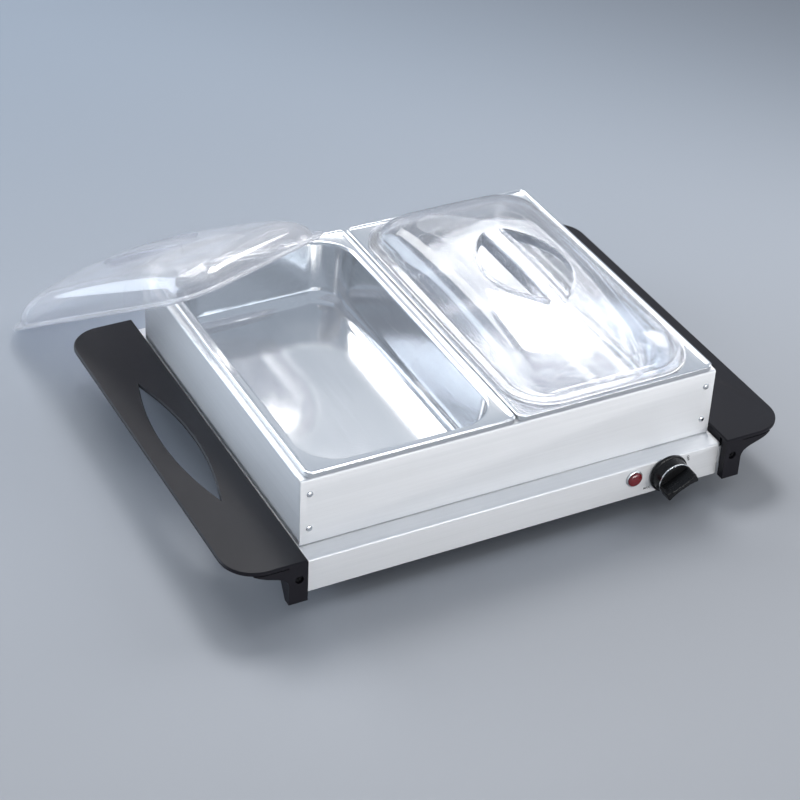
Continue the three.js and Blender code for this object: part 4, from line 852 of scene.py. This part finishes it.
# The other solids keep their form: those that show get a finish and softened edges of the width
# given here, and all the rest a finish
softened = {
    "base_housing": (brushedAlongX, 0.3), "bottom_cover": (platedSteel, 0.2),
    "cross_bar": (brushedAlongY, 0.2),
    "frame_front": (brushedAlongX, 0.4), "frame_back": (brushedAlongX, 0.4),
    "frame_left": (brushedAlongY, 0.4), "frame_right": (brushedAlongY, 0.4),
    "handle_left": (darkPlastic, 0.5), "handle_right": (darkPlastic, 0.5),
    "cord_gland": (glossBlack, 0.3), "gland_nut": (glossBlack, 0.2),
}
softenedByKind = {"foot_": 0.6, "cover_screw_": 0.15, "handle_screw_": 0.15}
for node in nodes:
    for start, width in softenedByKind.items():
        if node.startswith(start):
            softened[node] = (finishOf[slotOf[node]], width)
for node, (finish, width) in softened.items():
    refined(node, finish, width, refinedSettings)
for node, solid in nodes.items():
    solid.data.materials.clear()
    solid.data.materials.append(finishOf[slotOf[node]])
print("solids finished")

# Floor, light and air
backdropTone = (0.42, 0.48, 0.57)
# far and corner are darker floor tones: painted shade for light that falls off behind the object and
# towards the far right
floorSettings = {
    "size": 40.0, "roughness": 0.6, "near": (0.54, 0.57, 0.625), "far": (0.25, 0.305, 0.385),
    "farFrom": -0.7, "farTo": 1.0, "corner": (0.08, 0.094, 0.118), "cornerShadeFrom": 0.45,
    "cornerShadeTo": 1.3, "cornerShadeAcross": 0.8, "cornerShadeDepth": 0.6, "pale": (0.46, 0.51, 0.58),
    "clouds": 1.1, "cloudShare": 0.2, "fadeFrom": 1.25, "fadeTo": 2.6,
}


def makeFloor(s):
    # A paper floor, warmer grey in front and bluer behind, with painted shade that darkens it behind
    # and towards its far right corner; past the lamps it fades into the backdrop's own tone
    bpy.ops.mesh.primitive_plane_add(size=s["size"])
    floor = bpy.context.object
    floor.name = "floor"
    finish = Finish("floorPaper")
    where = finish.add("ShaderNodeTexCoord", take="Object")
    across, depth = finish.part(where, 0), finish.part(where, 1)
    # Painted shade: the floor goes from the near tone to a darker, bluer far tone
    tone = finish.mixed(finish.smooth(depth, s["farFrom"], s["farTo"]), s["near"], s["far"])
    # Painted shade: a darker tone towards the far right corner
    towards = across * s["cornerShadeAcross"] + depth * s["cornerShadeDepth"]
    corner = finish.smooth(towards, s["cornerShadeFrom"], s["cornerShadeTo"])
    tone = finish.mixed(corner, tone, s["corner"])
    cloud = finish.noise(where, s["clouds"], detail=1.0)
    tone = finish.mixed(cloud * s["cloudShare"], tone, s["pale"])
    paper = finish.surface(Base_Color=tone, Roughness=s["roughness"])
    away = finish.add("ShaderNodeVectorMath", {"operation": "LENGTH"}, {0: where}, "Value")
    glow = finish.add("ShaderNodeEmission", None, {"Color": (*backdropTone, 1)})
    share = finish.smooth(away, s["fadeFrom"], s["fadeTo"]) * finish.seen()
    both = finish.add("ShaderNodeMixShader", None, {0: share, 1: paper, 2: glow})
    floor.data.materials.append(finish.close(both))


makeFloor(floorSettings)

# Each lamp: its name, place, width and height, power, tint and beam in degrees
lightSettings = {
    "lamps": (
        ("key", (0.62, 1.13, 1.95), (0.7, 0.7), 18.5, "warm", 180.0),
        ("back", (-0.22, 1.69, 1.46), (0.9, 0.9), 12.0, "warm", 180.0),
        ("side", (1.8, 0.15, 1.20), (0.9, 0.9), 11.0, "warm", 180.0),
        ("wall", (0.95, 1.72, 1.38), (2.4, 1.6), 1.5, "warm", 180.0),
        ("front", (0.45, -2.0, 0.12), (2.4, 0.2), 2.8, "warm", 50.0),
        ("left", (-1.6, 1.5, 0.60), (2.2, 1.1), 10.5, "cool", 100.0),
    ),
    "aim": (0.0, -0.05, 0.07), "warm": (1.0, 0.99, 0.98), "cool": (0.78, 0.88, 1.0),
    "airLow": (0.70, 0.73, 0.78), "airHigh": (0.98, 0.99, 1.0), "lowAt": -0.05, "highAt": 0.7,
    "airStrength": 0.25,
}


def makeAir(s):
    # The air lights more from overhead than from the horizon, and shows as the plain backdrop
    world = bpy.data.worlds.new("air")
    bpy.context.scene.world = world
    world.use_nodes = True
    finish = Finish("air", world.node_tree)
    height = finish.part(finish.add("ShaderNodeTexCoord", take="Generated"), 2)
    tone = finish.mixed(finish.smooth(height, s["lowAt"], s["highAt"]), s["airLow"], s["airHigh"])
    shade = finish.add("ShaderNodeBackground", None, {"Color": tone, "Strength": s["airStrength"]})
    backdrop = finish.add("ShaderNodeBackground", None, {"Color": (*backdropTone, 1)})
    both = finish.add("ShaderNodeMixShader", None, {0: finish.seen(), 1: shade, 2: backdrop})
    finish.add("ShaderNodeOutputWorld", None, {"Surface": both})


def makeLamps(s):
    # Soft rectangles that look at one point; those near the floor have a narrower beam
    for name, place, size, power, tint, beam in s["lamps"]:
        data = bpy.data.lights.new(name, "AREA")
        data.shape = "RECTANGLE"
        data.size, data.size_y = size
        data.energy = power
        data.color = s[tint]
        data.spread = math.radians(beam)
        holder = bpy.data.objects.new(name, data)
        holder.location = place
        aim = Vector(s["aim"]) - Vector(place)
        holder.rotation_euler = aim.to_track_quat("-Z", "Y").to_euler()
        bpy.context.scene.collection.objects.link(holder)


makeAir(lightSettings)
makeLamps(lightSettings)
bpy.context.scene.view_settings.view_transform = "Standard"
print("stage lit")
